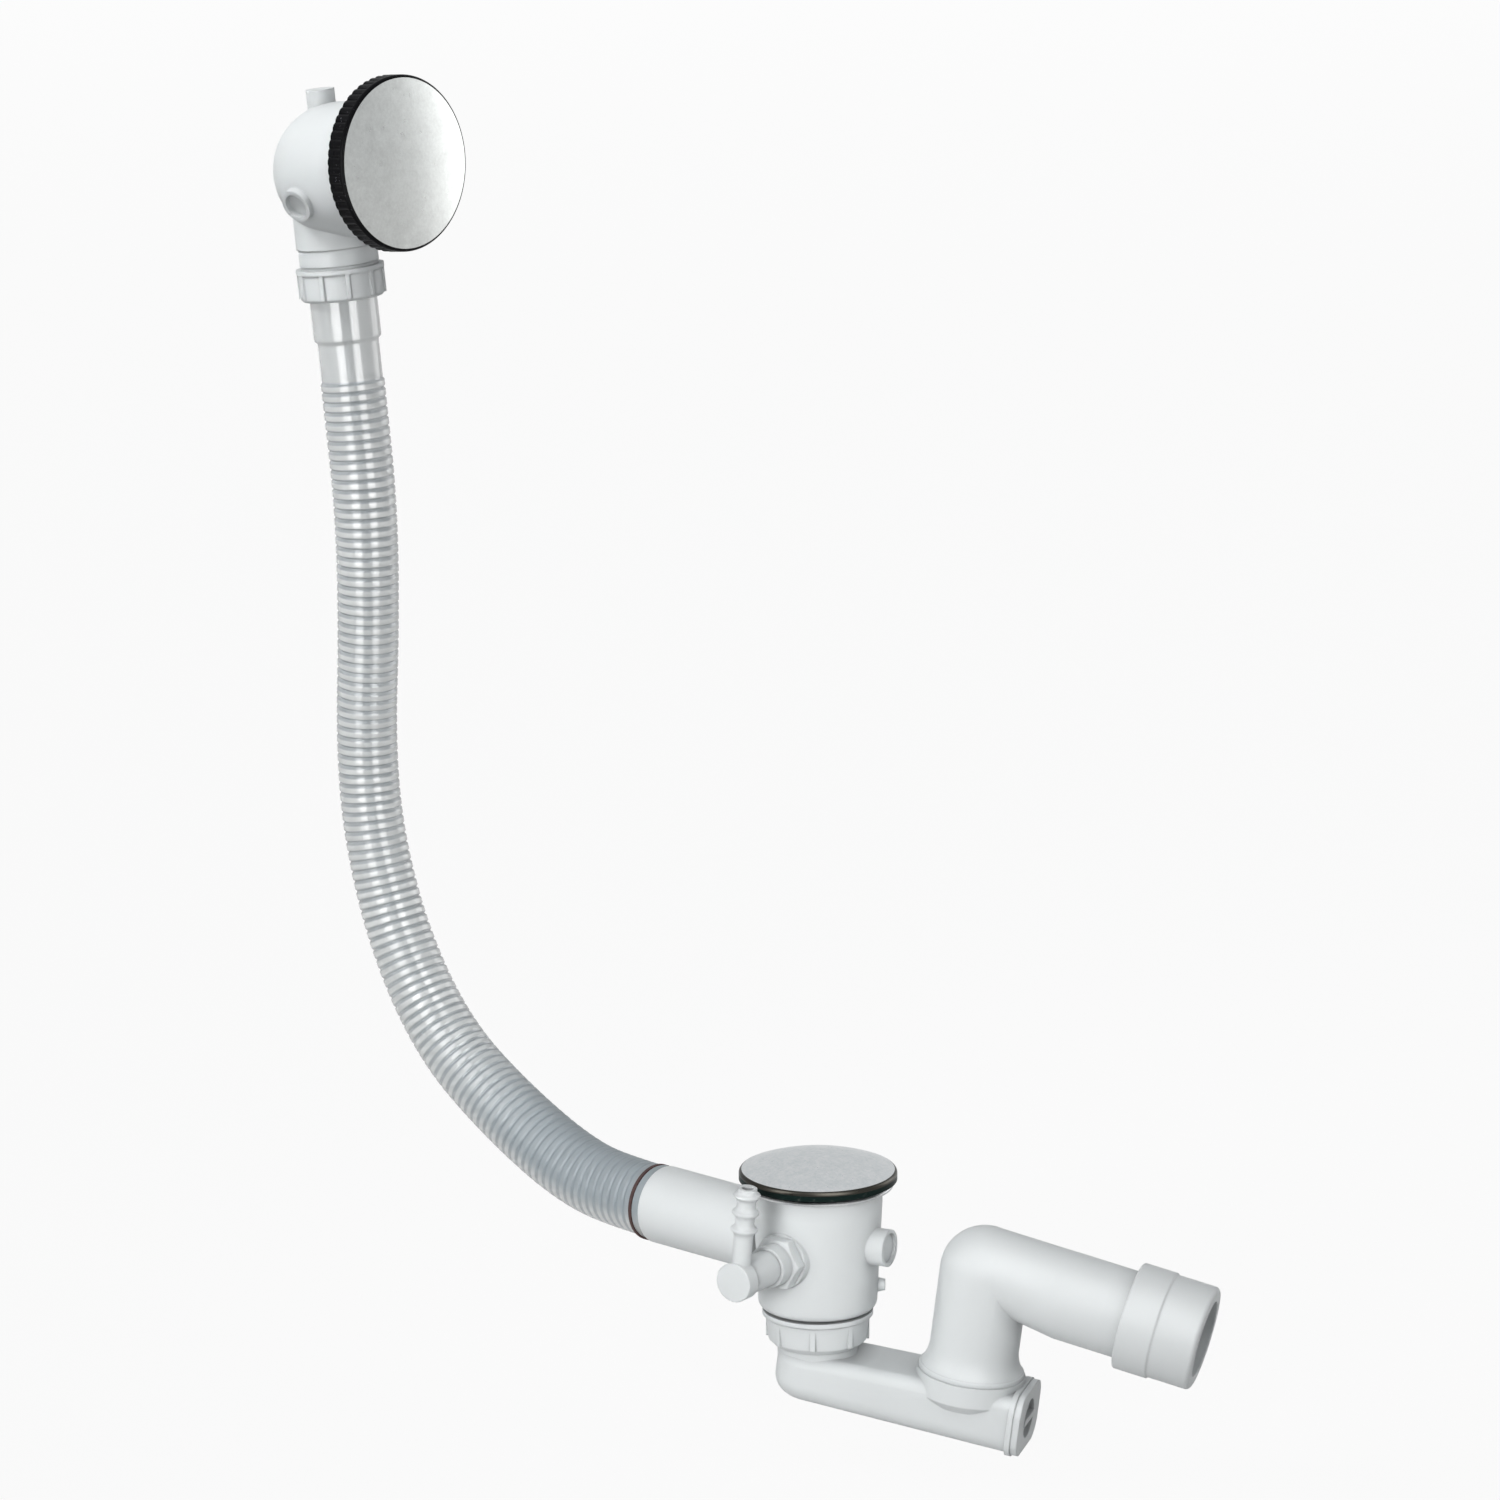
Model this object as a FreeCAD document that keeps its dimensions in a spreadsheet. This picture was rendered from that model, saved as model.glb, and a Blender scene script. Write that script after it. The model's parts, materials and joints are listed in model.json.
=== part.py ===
import FreeCAD, Part
import math
import os
import Sketcher
from types import SimpleNamespace

# Bath waste and overflow with a turn knob, a clear ribbed overflow hose and a flat trap.
# Millimetres, +Z up along the waste's axis. The origin is the centre of the face with which the
# waste's flange sits on the bath floor. +X points away from the overflow.

# Driving sizes: name, value, meaning. Every other size is worked out from these.
SIZES = [
    # plug and waste flange
    ("cap_skirt_height", 4.6, "upright rim of the plug cap"),
    ("cap_crown_height", 6.6, "rise of the plug cap's dome"),
    ("cap_wall", 1.8, "plug cap, sheet and cast wall"),
    ("cap_gap", 1.2, "gap between the closed cap and the waste flange"),
    ("cap_edge_round", 1.8, "rounding of the cap's upper edge"),
    ("seal_outer_radius", 31.0, "plug seal, outer radius"),
    ("seal_width", 4.5, "plug seal, width of the ring"),
    ("seal_thickness", 2.0, "plug seal, thickness"),
    ("cap_room", 3.45, "room between the seal and the plug cap's upright wall"),
    ("stem_radius", 2.5, "plug stem"),
    ("lift_gap", 0.35, "play between the stem's foot and the lever"),
    ("flange_lip", 3.5, "rim of the waste flange beyond the seal"),
    ("flange_mouth", 2.7, "run of the flange's rounded mouth"),
    ("flange_thickness", 1.6, "waste flange, rim thickness"),
    ("flange_wall", 1.6, "waste flange, wall of its cup"),
    ("flange_depth", 9.0, "depth of the flange's cup below its seat"),
    ("flange_slots", 6, "drain openings in the flange"),
    ("flange_hub_radius", 8.2, "solid centre of the flange's floor"),
    ("gasket_thickness", 1.6, "rubber ring between the waste and the bath"),
    ("clamp_screw_radius", 4.5, "hollow screw that clamps the flange"),
    ("clamp_screw_length", 14.0, "length of the hollow screw below its head"),
    ("clamp_head_radius", 7.6, "head of the hollow screw"),
    ("clamp_head_height", 2.4, "head height of the hollow screw"),
    # waste body
    ("body_top_radius", 29.5, "waste body, outer radius at the top"),
    ("body_foot_radius", 27.3, "waste body, outer radius at the foot"),
    ("body_height", 58.5, "waste body, from the seat down to its foot"),
    ("throat_radius", 25.0, "waste body, inner radius"),
    ("tail_radius", 20.0, "threaded tail below the waste body"),
    ("tail_length", 11.5, "length of the threaded tail"),
    ("tail_wall", 3.0, "wall of the threaded tail"),
    ("connector_radius", 18.2, "overflow branch, outer radius"),
    ("connector_level", 30.5, "overflow branch, axis below the seat"),
    ("connector_reach", 95.5, "overflow branch, from the axis to its mouth"),
    ("socket_radius", 15.3, "socket in the mouth of the overflow branch"),
    ("socket_depth", 26.0, "depth of that socket"),
    ("branch_bore", 13.4, "bore of the overflow branch behind the socket"),
    # lift lever and pull wire
    ("lever_arm", 14.0, "both arms of the lift lever, from the pin"),
    ("lever_swing", 41.0, "swing of the lift lever, degrees"),
    ("lever_width", 5.8, "width of the lift lever"),
    ("lever_pin_radius", 1.5, "pivot pin of the lever"),
    ("ear_thickness", 2.6, "ears that carry the pin"),
    ("wire_radius", 0.8, "pull wire"),
    ("nipple_radius", 1.4, "cross nipple on the pull wire"),
    ("fit_gap", 0.06, "radial play of a shaft in its bore"),
    ("side_gap", 0.35, "play beside moving parts"),
    ("casing_radius", 2.5, "cable casing inside the hose"),
    ("casing_start", 50.0, "casing end in the branch, from the waste's axis"),
    ("holder_length", 4.0, "length of the holders that carry the casing"),
    ("ferrule_radius", 3.4, "metal end of the casing"),
    ("ferrule_length", 16.0, "length of the metal end"),
    # side nozzle for a thin drain hose
    ("nozzle_heading", -82.5, "heading of the side nozzle from +X, degrees"),
    ("nozzle_level", 29.0, "nozzle axis below the seat"),
    ("bush_across_flats", 22.4, "hexagon of the nozzle's bush"),
    ("bush_hex_length", 5.6, "length of that hexagon"),
    ("bush_neck_radius", 9.7, "round neck of the bush"),
    ("bush_neck_length", 6.8, "length of the round neck"),
    ("bush_thread_radius", 8.0, "thread of the bush in the waste body"),
    ("pad_face", 29.4, "face of the pad under the bush, from the waste's axis"),
    ("nozzle_spigot_radius", 6.6, "inner spigot of the nozzle, in the bush"),
    ("nozzle_barrel_radius", 8.2, "nozzle barrel"),
    ("nozzle_reach", 68.4, "flat end of the nozzle, from the waste's axis"),
    ("nozzle_head_radius", 9.1, "round head at the nozzle's end"),
    ("nozzle_head_length", 7.3, "thickness of that head"),
    ("spigot_set_back", 5.2, "barbed spigot's axis behind the flat end"),
    ("spigot_lean", 5.8, "how far the barbed spigot leans to the left, degrees"),
    ("barb_stem_height", 44.7, "barbed spigot, from the nozzle's axis to its tip"),
    ("barb_stem_radius", 4.4, "barbed spigot between its barbs"),
    ("barb_radius", 6.2, "crest of the barbs"),
    ("barb_pitch", 8.2, "distance between barbs"),
    ("barb_count", 3, "number of barbs"),
    ("barb_bore", 2.7, "bore of the barbed spigot"),
    # blind port
    ("port_level", 26.0, "axis of the blind port below the seat"),
    ("port_heading", 17.0, "heading of the blind port, degrees"),
    ("port_radius", 8.6, "blind port, outer radius"),
    ("port_reach", 36.0, "blind port, from the waste's axis"),
    ("port_recess", 1.6, "depth of the recess in its face"),
    # union nut of the trap
    ("nut_top_radius", 25.4, "trap nut, radius at its upper edge"),
    ("nut_low_radius", 22.6, "trap nut, radius at its lower edge"),
    ("nut_height", 16.4, "trap nut, height"),
    ("nut_gap", 0.9, "dark gap between the waste body and the nut"),
    ("nut_rib_count", 8, "ribs round the trap nut"),
    ("nut_rib_width", 2.6, "width of a rib"),
    ("nut_rib_depth", 0.8, "how far a rib stands out"),
    # trap
    ("trap_heading", 27.0, "heading of the trap from +X, degrees"),
    ("trap_fall", 7.1, "fall of the trap towards its cleaning end, degrees"),
    ("trap_top", 77.5, "roof of the trap below the seat, at the inlet"),
    ("inlet_radius", 18.4, "inlet tube of the trap"),
    ("duct_start", 16.9, "closed end of the duct, before the inlet's axis"),
    ("duct_width", 40.0, "trap duct, width"),
    ("duct_height", 23.5, "trap duct, height at the inlet"),
    ("duct_end_height", 28.0, "trap duct, height at the cleaning end"),
    ("duct_length", 99.0, "trap duct, from the inlet to the cleaning end"),
    ("duct_wall", 2.6, "trap duct, wall"),
    ("duct_bottom_round", 9.5, "rounding of the duct's lower edges"),
    ("duct_top_round", 6.0, "rounding of the duct's upper edges"),
    ("end_flange", 2.6, "thickness of the cleaning end's flange"),
    ("end_flange_lip", 1.0, "how far that flange stands proud"),
    ("cover_thickness", 3.2, "cleaning cover"),
    ("riser_inset", 26.3, "from the cleaning end back to the riser"),
    ("riser_radius", 20.5, "riser of the outlet elbow"),
    ("riser_height", 52.3, "from the duct's roof to the elbow's corner"),
    ("riser_wall", 2.7, "wall of the riser"),
    ("collar_radius", 25.0, "socket collar round the riser"),
    ("collar_height", 3.4, "socket collar above the duct's roof"),
    ("collar_depth", 6.5, "socket collar below the duct's roof"),
    ("foot_ring_radius", 24.2, "ring at the elbow's foot"),
    ("arm_fall", 6.2, "fall of the outlet arm, from the duct's line, degrees"),
    ("arm_neck_radius", 18.9, "outlet arm next to the corner"),
    ("arm_neck_rise", 1.6, "how far the neck's axis lies above the arm's"),
    ("arm_neck_end", 14.0, "where the arm starts to widen"),
    ("arm_wide_start", 39.0, "where the arm has its full width"),
    ("arm_radius", 20.5, "outlet arm"),
    ("arm_length", 98.0, "outlet arm, from the corner to its end"),
    ("sleeve_overlap", 29.0, "how far the outlet sleeve reaches over the arm"),
    ("sleeve_step_length", 16.8, "outlet sleeve, from its first edge to its step"),
    ("sleeve_length", 36.6, "outlet sleeve, from its first edge to its open end"),
    ("sleeve_big_radius", 25.0, "outlet sleeve before the step"),
    ("sleeve_radius", 24.3, "outlet sleeve after the step"),
    # overflow
    ("overflow_x", -268.4, "overflow seat, X of its centre"),
    ("overflow_z", 438.5, "overflow seat, height of its centre"),
    ("overflow_tilt", 8.0, "how far the overflow leans back, degrees"),
    ("knob_radius", 41.0, "turn knob, outer radius"),
    ("knob_depth", 9.4, "turn knob, side wall"),
    ("knob_gap", 2.6, "from the seat to the knob's back edge"),
    ("knob_dome", 2.6, "rise of the knob's face"),
    ("knob_wall", 2.2, "wall of the knob"),
    ("knob_edge_round", 1.6, "rounding of the knob's face edge"),
    ("knurl_count", 60, "grooves round the knob"),
    ("knurl_radius", 0.9, "radius of a groove"),
    ("knob_turn", 80.0, "turn of the knob, degrees"),
    ("spindle_radius", 4.0, "spindle of the knob"),
    ("drum_wire_radius", 7.02, "radius at which the wire lies on the drum"),
    ("drum_flange_radius", 9.4, "cheeks of the cable drum"),
    ("plate_radius", 37.5, "overflow trim plate"),
    ("plate_thickness", 2.0, "overflow trim plate"),
    ("plate_slots", 6, "openings in the trim plate"),
    ("overflow_gasket", 1.5, "rubber ring behind the bath wall"),
    ("rim_radius", 34.4, "front rim of the overflow body"),
    ("rim_thickness", 3.0, "front rim of the overflow body"),
    ("drum_radius", 31.6, "overflow body, outer radius"),
    ("drum_straight", 30.4, "overflow body, depth of its straight part"),
    ("drum_drop", 2.6, "how far the body's axis lies below the knob's"),
    ("overflow_wall", 3.0, "wall of the overflow body"),
    ("neck_offset", 38.4, "neck axis behind the seat"),
    ("neck_radius", 18.6, "neck of the overflow body"),
    ("neck_shoulder", 46.5, "neck shoulder, from the knob's axis"),
    ("neck_thread_radius", 18.0, "threaded end of the neck"),
    ("neck_end", 57.6, "end of the neck, from the knob's axis"),
    ("neck_bore", 15.5, "bore of the neck"),
    ("side_port_radius", 8.2, "blind side port, outer radius"),
    ("side_port_recess", 6.0, "blind side port, radius of its recess"),
    ("side_port_tilt", 22.0, "blind side port, degrees below the horizontal"),
    ("side_port_depth", 30.6, "blind side port, behind the seat"),
    ("top_boss_radius", 6.7, "boss on top of the overflow body"),
    ("top_boss_reach", 35.2, "top of that boss, from the knob's axis"),
    ("overflow_nut_radius", 20.7, "overflow union nut"),
    ("overflow_nut_start", 48.0, "its upper edge, from the knob's axis"),
    ("overflow_nut_end", 63.0, "its lower edge, from the knob's axis"),
    ("overflow_nut_ribs", 10, "ribs round the overflow nut"),
    # hose
    ("hose_washer", 1.2, "washer between neck and hose"),
    ("hose_flange", 1.9, "flange on the hose's upper end"),
    ("cuff_radius", 15.9, "upper cuff of the hose"),
    ("cuff_length", 23.5, "upper cuff, with its flange"),
    ("second_cuff_radius", 14.5, "plain stretch below the cuff"),
    ("second_cuff_length", 19.5, "length of that plain stretch"),
    ("crest_top", 15.1, "crest of the ribs at the top"),
    ("crest_waist", 14.3, "crest of the ribs where the hose is stretched"),
    ("crest_end", 17.1, "crest of the ribs at the lower end"),
    ("waist_place", 0.36, "where the hose is thinnest, as a share of the ribs"),
    ("rib_depth", 1.8, "depth of the ribs"),
    ("rib_count", 49, "ribs of the hose"),
    ("hose_bore", 12.2, "bore of the hose"),
    ("lip_length", 4.6, "plain lip at the hose's lower end"),
    ("lip_radius", 17.6, "radius of that lip"),
    ("spigot_radius", 15.2, "hose end inside the branch"),
    ("hose_ring_width", 1.6, "dark ring at the hose's lower end"),
]

# Route of the hose and of the cable in it, in the plane of the two axes: X and Z of the corners
# of its centre line. The first point is the hose's upper end and the last lies in the branch.
ROUTE_STRETCH = 52.0
# Straight stretches of the hose's bore
BORE_STATIONS = 24
ROUTE_CORNERS = [
    (-284.0, 270.0),
    (-283.4, 214.0),
    (-286.2, 158.0),
    (-281.6, 112.0),
    (-264.8, 63.0),
    (-236.0, 21.0),
    (-197.0, -5.0),
    (-152.0, -26.0),
    (-118.0, -30.5),
]


class Size:
    """A size that carries its number and the formula that the sheet holds for it."""

    def __init__(self, number, formula):
        self.number = float(number)
        self.formula = formula

    def _join(self, sign, other, number, turned=False):
        text = other.formula if isinstance(other, Size) else repr(float(other))
        left, right = (text, self.formula) if turned else (self.formula, text)
        return Size(number, f"({left} {sign} {right})")

    def __add__(self, other):
        return self._join("+", other, self.number + number_of(other))

    def __radd__(self, other):
        return self._join("+", other, number_of(other) + self.number, True)

    def __sub__(self, other):
        return self._join("-", other, self.number - number_of(other))

    def __rsub__(self, other):
        return self._join("-", other, number_of(other) - self.number, True)

    def __mul__(self, other):
        return self._join("*", other, self.number * number_of(other))

    def __rmul__(self, other):
        return self._join("*", other, number_of(other) * self.number, True)

    def __truediv__(self, other):
        return self._join("/", other, self.number / number_of(other))

    def __neg__(self):
        return Size(-self.number, f"(0 - {self.formula})")


def number_of(value):
    return value.number if isinstance(value, Size) else float(value)


def sine(angle):
    """Sine of an angle in degrees."""
    return Size(math.sin(math.radians(angle.number)), f"sin({angle.formula} * 1deg)")


def cosine(angle):
    """Cosine of an angle in degrees."""
    return Size(math.cos(math.radians(angle.number)), f"cos({angle.formula} * 1deg)")


def root(value):
    return Size(math.sqrt(value.number), f"sqrt({value.formula})")


doc = FreeCAD.newDocument("BathWaste")
sheet = doc.addObject("Spreadsheet::Sheet", "Sizes")
d = SimpleNamespace()
for row, (name, value, meaning) in enumerate(SIZES, start=1):
    sheet.set(f"A{row}", name)
    sheet.set(f"B{row}", str(value))
    sheet.set(f"C{row}", meaning)
    sheet.setAlias(f"B{row}", name)
    setattr(d, name, Size(value, f"Sizes.{name}"))
doc.recompute()

nodes = {}


def vector(x, y, z):
    return FreeCAD.Vector(number_of(x), number_of(y), number_of(z))


def bind(item, **sizes):
    """Ties the item's properties to the sheet."""
    for prop, value in sizes.items():
        if isinstance(value, Size):
            item.setExpression(prop, value.formula)
        else:
            setattr(item, prop, value)
    return item


def keep(item, label):
    """Makes an object of the document a finished piece, under the name of its file."""
    item.Label = label
    nodes[label] = item
    return item


def axes_frame(origin, along, across):
    """Placement whose Z runs along the first direction and whose X is nearest to the second."""
    return FreeCAD.Placement(origin, FreeCAD.Rotation(across, FreeCAD.Vector(), along, "ZXY"))


# Frames of the object's main axes
UP = FreeCAD.Vector(0, 0, 1)
EAST = FreeCAD.Vector(1, 0, 0)
NORTH = FreeCAD.Vector(0, 1, 0)


def heading(angle):
    turn = math.radians(number_of(angle))
    return FreeCAD.Vector(math.cos(turn), math.sin(turn), 0)


tilt = math.radians(d.overflow_tilt.number)
overflow_face = FreeCAD.Vector(math.cos(tilt), 0, math.sin(tilt))
overflow_down = FreeCAD.Vector(math.sin(tilt), 0, -math.cos(tilt))
overflow_origin = vector(d.overflow_x, 0, d.overflow_z)
overflow_frame = axes_frame(overflow_origin, overflow_face, overflow_down)
neck_origin = overflow_origin - overflow_face * d.neck_offset.number
neck_frame = axes_frame(neck_origin, overflow_down, overflow_face)

connector_frame = axes_frame(vector(0, 0, -d.connector_level), -EAST, UP)
nozzle_frame = axes_frame(vector(0, 0, -d.nozzle_level), heading(d.nozzle_heading), UP)
port_frame = axes_frame(vector(0, 0, -d.port_level), heading(d.port_heading), UP)

trap_turn = FreeCAD.Rotation(d.trap_heading.number, d.trap_fall.number, 0)
trap_frame = FreeCAD.Placement(vector(0, 0, -d.trap_top), trap_turn)
riser_spacing = d.duct_length - d.riser_inset
riser_frame = trap_frame.multiply(FreeCAD.Placement(vector(riser_spacing, 0, 0), FreeCAD.Rotation()))
corner_frame = riser_frame.multiply(FreeCAD.Placement(vector(0, 0, d.riser_height), FreeCAD.Rotation()))
arm_turn = FreeCAD.Rotation(NORTH, 90.0 + d.arm_fall.number)
arm_frame = corner_frame.multiply(FreeCAD.Placement(FreeCAD.Vector(), arm_turn))


def cylinder(radius, start, end, place=None, name="Cylinder"):
    """Cylinder along the Z of its place, from start to end."""
    item = doc.addObject("Part::Cylinder", name)
    bind(item, Radius=radius, Height=end - start)
    frame = place or FreeCAD.Placement()
    item.Placement = frame.multiply(FreeCAD.Placement(vector(0, 0, start), FreeCAD.Rotation()))
    return item


def cone(radius_one, radius_two, start, end, place=None, name="Cone"):
    """Cone along the Z of its place, from start to end, with its two radii."""
    item = doc.addObject("Part::Cone", name)
    bind(item, Radius1=radius_one, Radius2=radius_two, Height=end - start)
    frame = place or FreeCAD.Placement()
    item.Placement = frame.multiply(FreeCAD.Placement(vector(0, 0, start), FreeCAD.Rotation()))
    return item


def ball(radius, centre, place=None, name="Ball"):
    item = doc.addObject("Part::Sphere", name)
    bind(item, Radius=radius)
    frame = place or FreeCAD.Placement()
    item.Placement = frame.multiply(FreeCAD.Placement(centre, FreeCAD.Rotation()))
    return item


def block(length, width, height, corner, place=None, name="Block"):
    item = doc.addObject("Part::Box", name)
    bind(item, Length=length, Width=width, Height=height)
    frame = place or FreeCAD.Placement()
    item.Placement = frame.multiply(FreeCAD.Placement(corner, FreeCAD.Rotation()))
    return item


def joined(items, name="Joined"):
    item = doc.addObject("Part::MultiFuse", name)
    item.Shapes = items
    item.Refine = True
    return item


def cut(base, tools, name="Cut"):
    """The base less all tools."""
    tool = tools[0] if len(tools) == 1 else joined(tools, name + "Tools")
    item = doc.addObject("Part::Cut", name)
    item.Base = base
    item.Tool = tool
    item.Refine = True
    return item


def common(one, two, name="Common"):
    item = doc.addObject("Part::Common", name)
    item.Base = one
    item.Tool = two
    return item


def origin_plane(body, role):
    return next(plane for plane in body.Origin.OriginFeatures if plane.Role == role)


def place_point(sketch, geometry, corner, across, up):
    """Ties one corner of a sketch to two formulas."""
    for kind, value, axis in (("DistanceX", across, -2), ("DistanceY", up, -1)):
        if abs(number_of(value)) < 1e-9:
            sketch.addConstraint(Sketcher.Constraint("PointOnObject", geometry, corner, axis))
            continue
        index = sketch.addConstraint(
            Sketcher.Constraint(kind, -1, 1, geometry, corner, number_of(value))
        )
        if isinstance(value, Size):
            sketch.setExpression(f"Constraints[{index}]", value.formula)


def stretch_between(start, end, rise):
    """Line from one corner to the next, or an arc that bulges to the right of the way by its rise."""
    if rise is None:
        return Part.LineSegment(start, end)
    way = end - start
    side = FreeCAD.Vector(way.y, -way.x, 0).normalize()
    return Part.Arc(start, (start + end) * 0.5 + side * number_of(rise), end)


def tie_radius(sketch, geometry, start, end, rise):
    """Ties an arc's radius to the formulas of its two ends and its rise."""
    across = end[0] - start[0]
    up = end[1] - start[1]
    size = -rise if number_of(rise) < 0 else rise
    radius = (across * across + up * up) / (size * 8.0) + size / 2.0
    index = sketch.addConstraint(Sketcher.Constraint("Radius", geometry, number_of(radius)))
    if isinstance(radius, Size):
        sketch.setExpression(f"Constraints[{index}]", radius.formula)


def outline(body, role, corners, name):
    """Closed outline on one of the body's own planes.

    A corner is (across, up), or (across, up, rise) where an arc with that rise leads to it.
    """
    sketch = body.newObject("Sketcher::SketchObject", name)
    sketch.AttachmentSupport = [(origin_plane(body, role), "")]
    sketch.MapMode = "FlatFace"
    points = [vector(corner[0], corner[1], 0) for corner in corners]
    rises = [corner[2] if len(corner) > 2 else None for corner in corners]
    count = len(points)
    starts = []
    for i in range(count):
        after = (i + 1) % count
        sketch.addGeometry(stretch_between(points[i], points[after], rises[after]), False)
        starts.append(1 if sketch.getPoint(i, 1).isEqual(points[i], 1e-6) else 2)
    for i in range(count):
        after = (i + 1) % count
        sketch.addConstraint(Sketcher.Constraint("Coincident", i, 3 - starts[i], after, starts[after]))
    for i in range(count):
        place_point(sketch, i, starts[i], corners[i][0], corners[i][1])
    for i in range(count):
        after = (i + 1) % count
        if rises[after] is not None:
            tie_radius(sketch, i, corners[i], corners[after], rises[after])
    return sketch


def domed_edge(radius, top, edge, rise):
    """Corners from an upright wall over a rounded edge and a shallow dome to the axis."""
    spread = radius * radius + rise * rise
    lean = (2.0 * rise * radius) / spread
    ease = (radius * radius - rise * rise) / spread
    dome_edge = radius - edge * (1.0 - lean)
    height = rise + edge * (1.0 - ease)
    dome_radius = (dome_edge * dome_edge + height * height) / (2.0 * height)
    return [
        (radius, top - edge),
        (dome_edge, top - edge * (1.0 - ease), edge * (1.0 - root((lean + 1.0) / 2.0))),
        (0, top + rise, dome_radius * (1.0 - root(1.0 - height / (2.0 * dome_radius)))),
    ]


# Rise of a quarter circle, for each millimetre of its radius
QUARTER = 1.0 - math.sqrt(0.5)


def turned(label, corners, place=None):
    """A turned piece: radius and height of each corner of its section."""
    body = doc.addObject("PartDesign::Body", label + "_body")
    sketch = outline(body, "XZ_Plane", corners, label + "_section")
    spin = body.newObject("PartDesign::Revolution", label + "_turned")
    spin.Profile = (sketch, [""])
    spin.ReferenceAxis = (sketch, ["V_Axis"])
    spin.Angle = 360
    sketch.Visibility = False
    if place is not None:
        body.Placement = place
    return body


def edges_where(shape, test):
    """Names of the shape's edges that pass the test."""
    return [f"Edge{i}" for i, edge in enumerate(shape.Edges, start=1) if test(edge)]


def rounded(body, radius, *tests):
    """Adds a fillet to the body on the edges that pass any of the tests."""
    doc.recompute()
    before = body.Tip
    names = edges_where(before.Shape, lambda edge: any(test(edge) for test in tests))
    fillet = body.newObject("PartDesign::Fillet", body.Name + "_round")
    fillet.Base = (before, names)
    bind(fillet, Radius=radius)
    body.Tip = fillet
    return body


def spun(angle, shift=None):
    """Placement turned about Z by an angle in degrees."""
    turn = FreeCAD.Placement(FreeCAD.Vector(), FreeCAD.Rotation(UP, angle))
    return turn.multiply(FreeCAD.Placement(shift or FreeCAD.Vector(), FreeCAD.Rotation()))


# Heights in the waste
flange_top = d.flange_thickness
skirt_low = flange_top + d.cap_gap
skirt_top = skirt_low + d.cap_skirt_height
crown = skirt_top + d.cap_crown_height
floor_top = d.flange_wall - d.flange_depth
body_low = -d.body_height
tail_low = body_low - d.tail_length
half_swing = d.lever_swing / 2.0
lever_level = -d.connector_level - d.lever_arm * cosine(half_swing)
lever_x = -d.lever_arm
pad_radius = 2.2
stem_foot = lever_level - d.lever_arm * sine(half_swing) + pad_radius + d.lift_gap
nipple_x = lever_x + d.lever_arm * sine(half_swing)


def plug():
    """Domed cap on its stem, with a rubber ring that closes on the waste flange."""
    seal_inner = d.seal_outer_radius - d.seal_width
    seat = flange_top + d.seal_thickness
    rib_inner = seal_inner - d.cap_wall / 2.0
    rib_outer = d.seal_outer_radius
    boss = d.stem_radius + 3.2
    pocket = skirt_top - d.cap_edge_round
    wall_inner = d.seal_outer_radius + d.cap_room
    cap_radius = wall_inner + d.cap_wall
    cap = turned(
        "plug_cap",
        [
            (d.stem_radius, seat),
            (boss, seat),
            (boss, crown - d.cap_wall * 1.5),
            (rib_inner, crown - d.cap_crown_height * 0.5 - d.cap_wall * 1.3),
            (rib_inner, seat),
            (rib_outer, seat),
            (rib_outer, pocket),
            (wall_inner, pocket),
            (wall_inner, skirt_low),
            (cap_radius, skirt_low),
        ]
        + domed_edge(cap_radius, skirt_top, d.cap_edge_round, d.cap_crown_height)
        + [(0, crown - d.cap_wall), (d.stem_radius, crown - d.cap_wall)],
    )
    keep(cap, "plug_cap")
    keep(
        turned(
            "plug_seal",
            [
                (seal_inner, flange_top),
                (d.seal_outer_radius, flange_top),
                (d.seal_outer_radius, seat),
                (seal_inner, seat),
            ],
        ),
        "plug_seal",
    )
    chamfer = 0.6
    keep(
        turned(
            "plug_stem",
            [
                (0, stem_foot),
                (d.stem_radius - chamfer, stem_foot),
                (d.stem_radius, stem_foot + chamfer),
                (d.stem_radius, crown - d.cap_wall),
                (0, crown - d.cap_wall),
            ],
        ),
        "plug_stem",
    )


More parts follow.
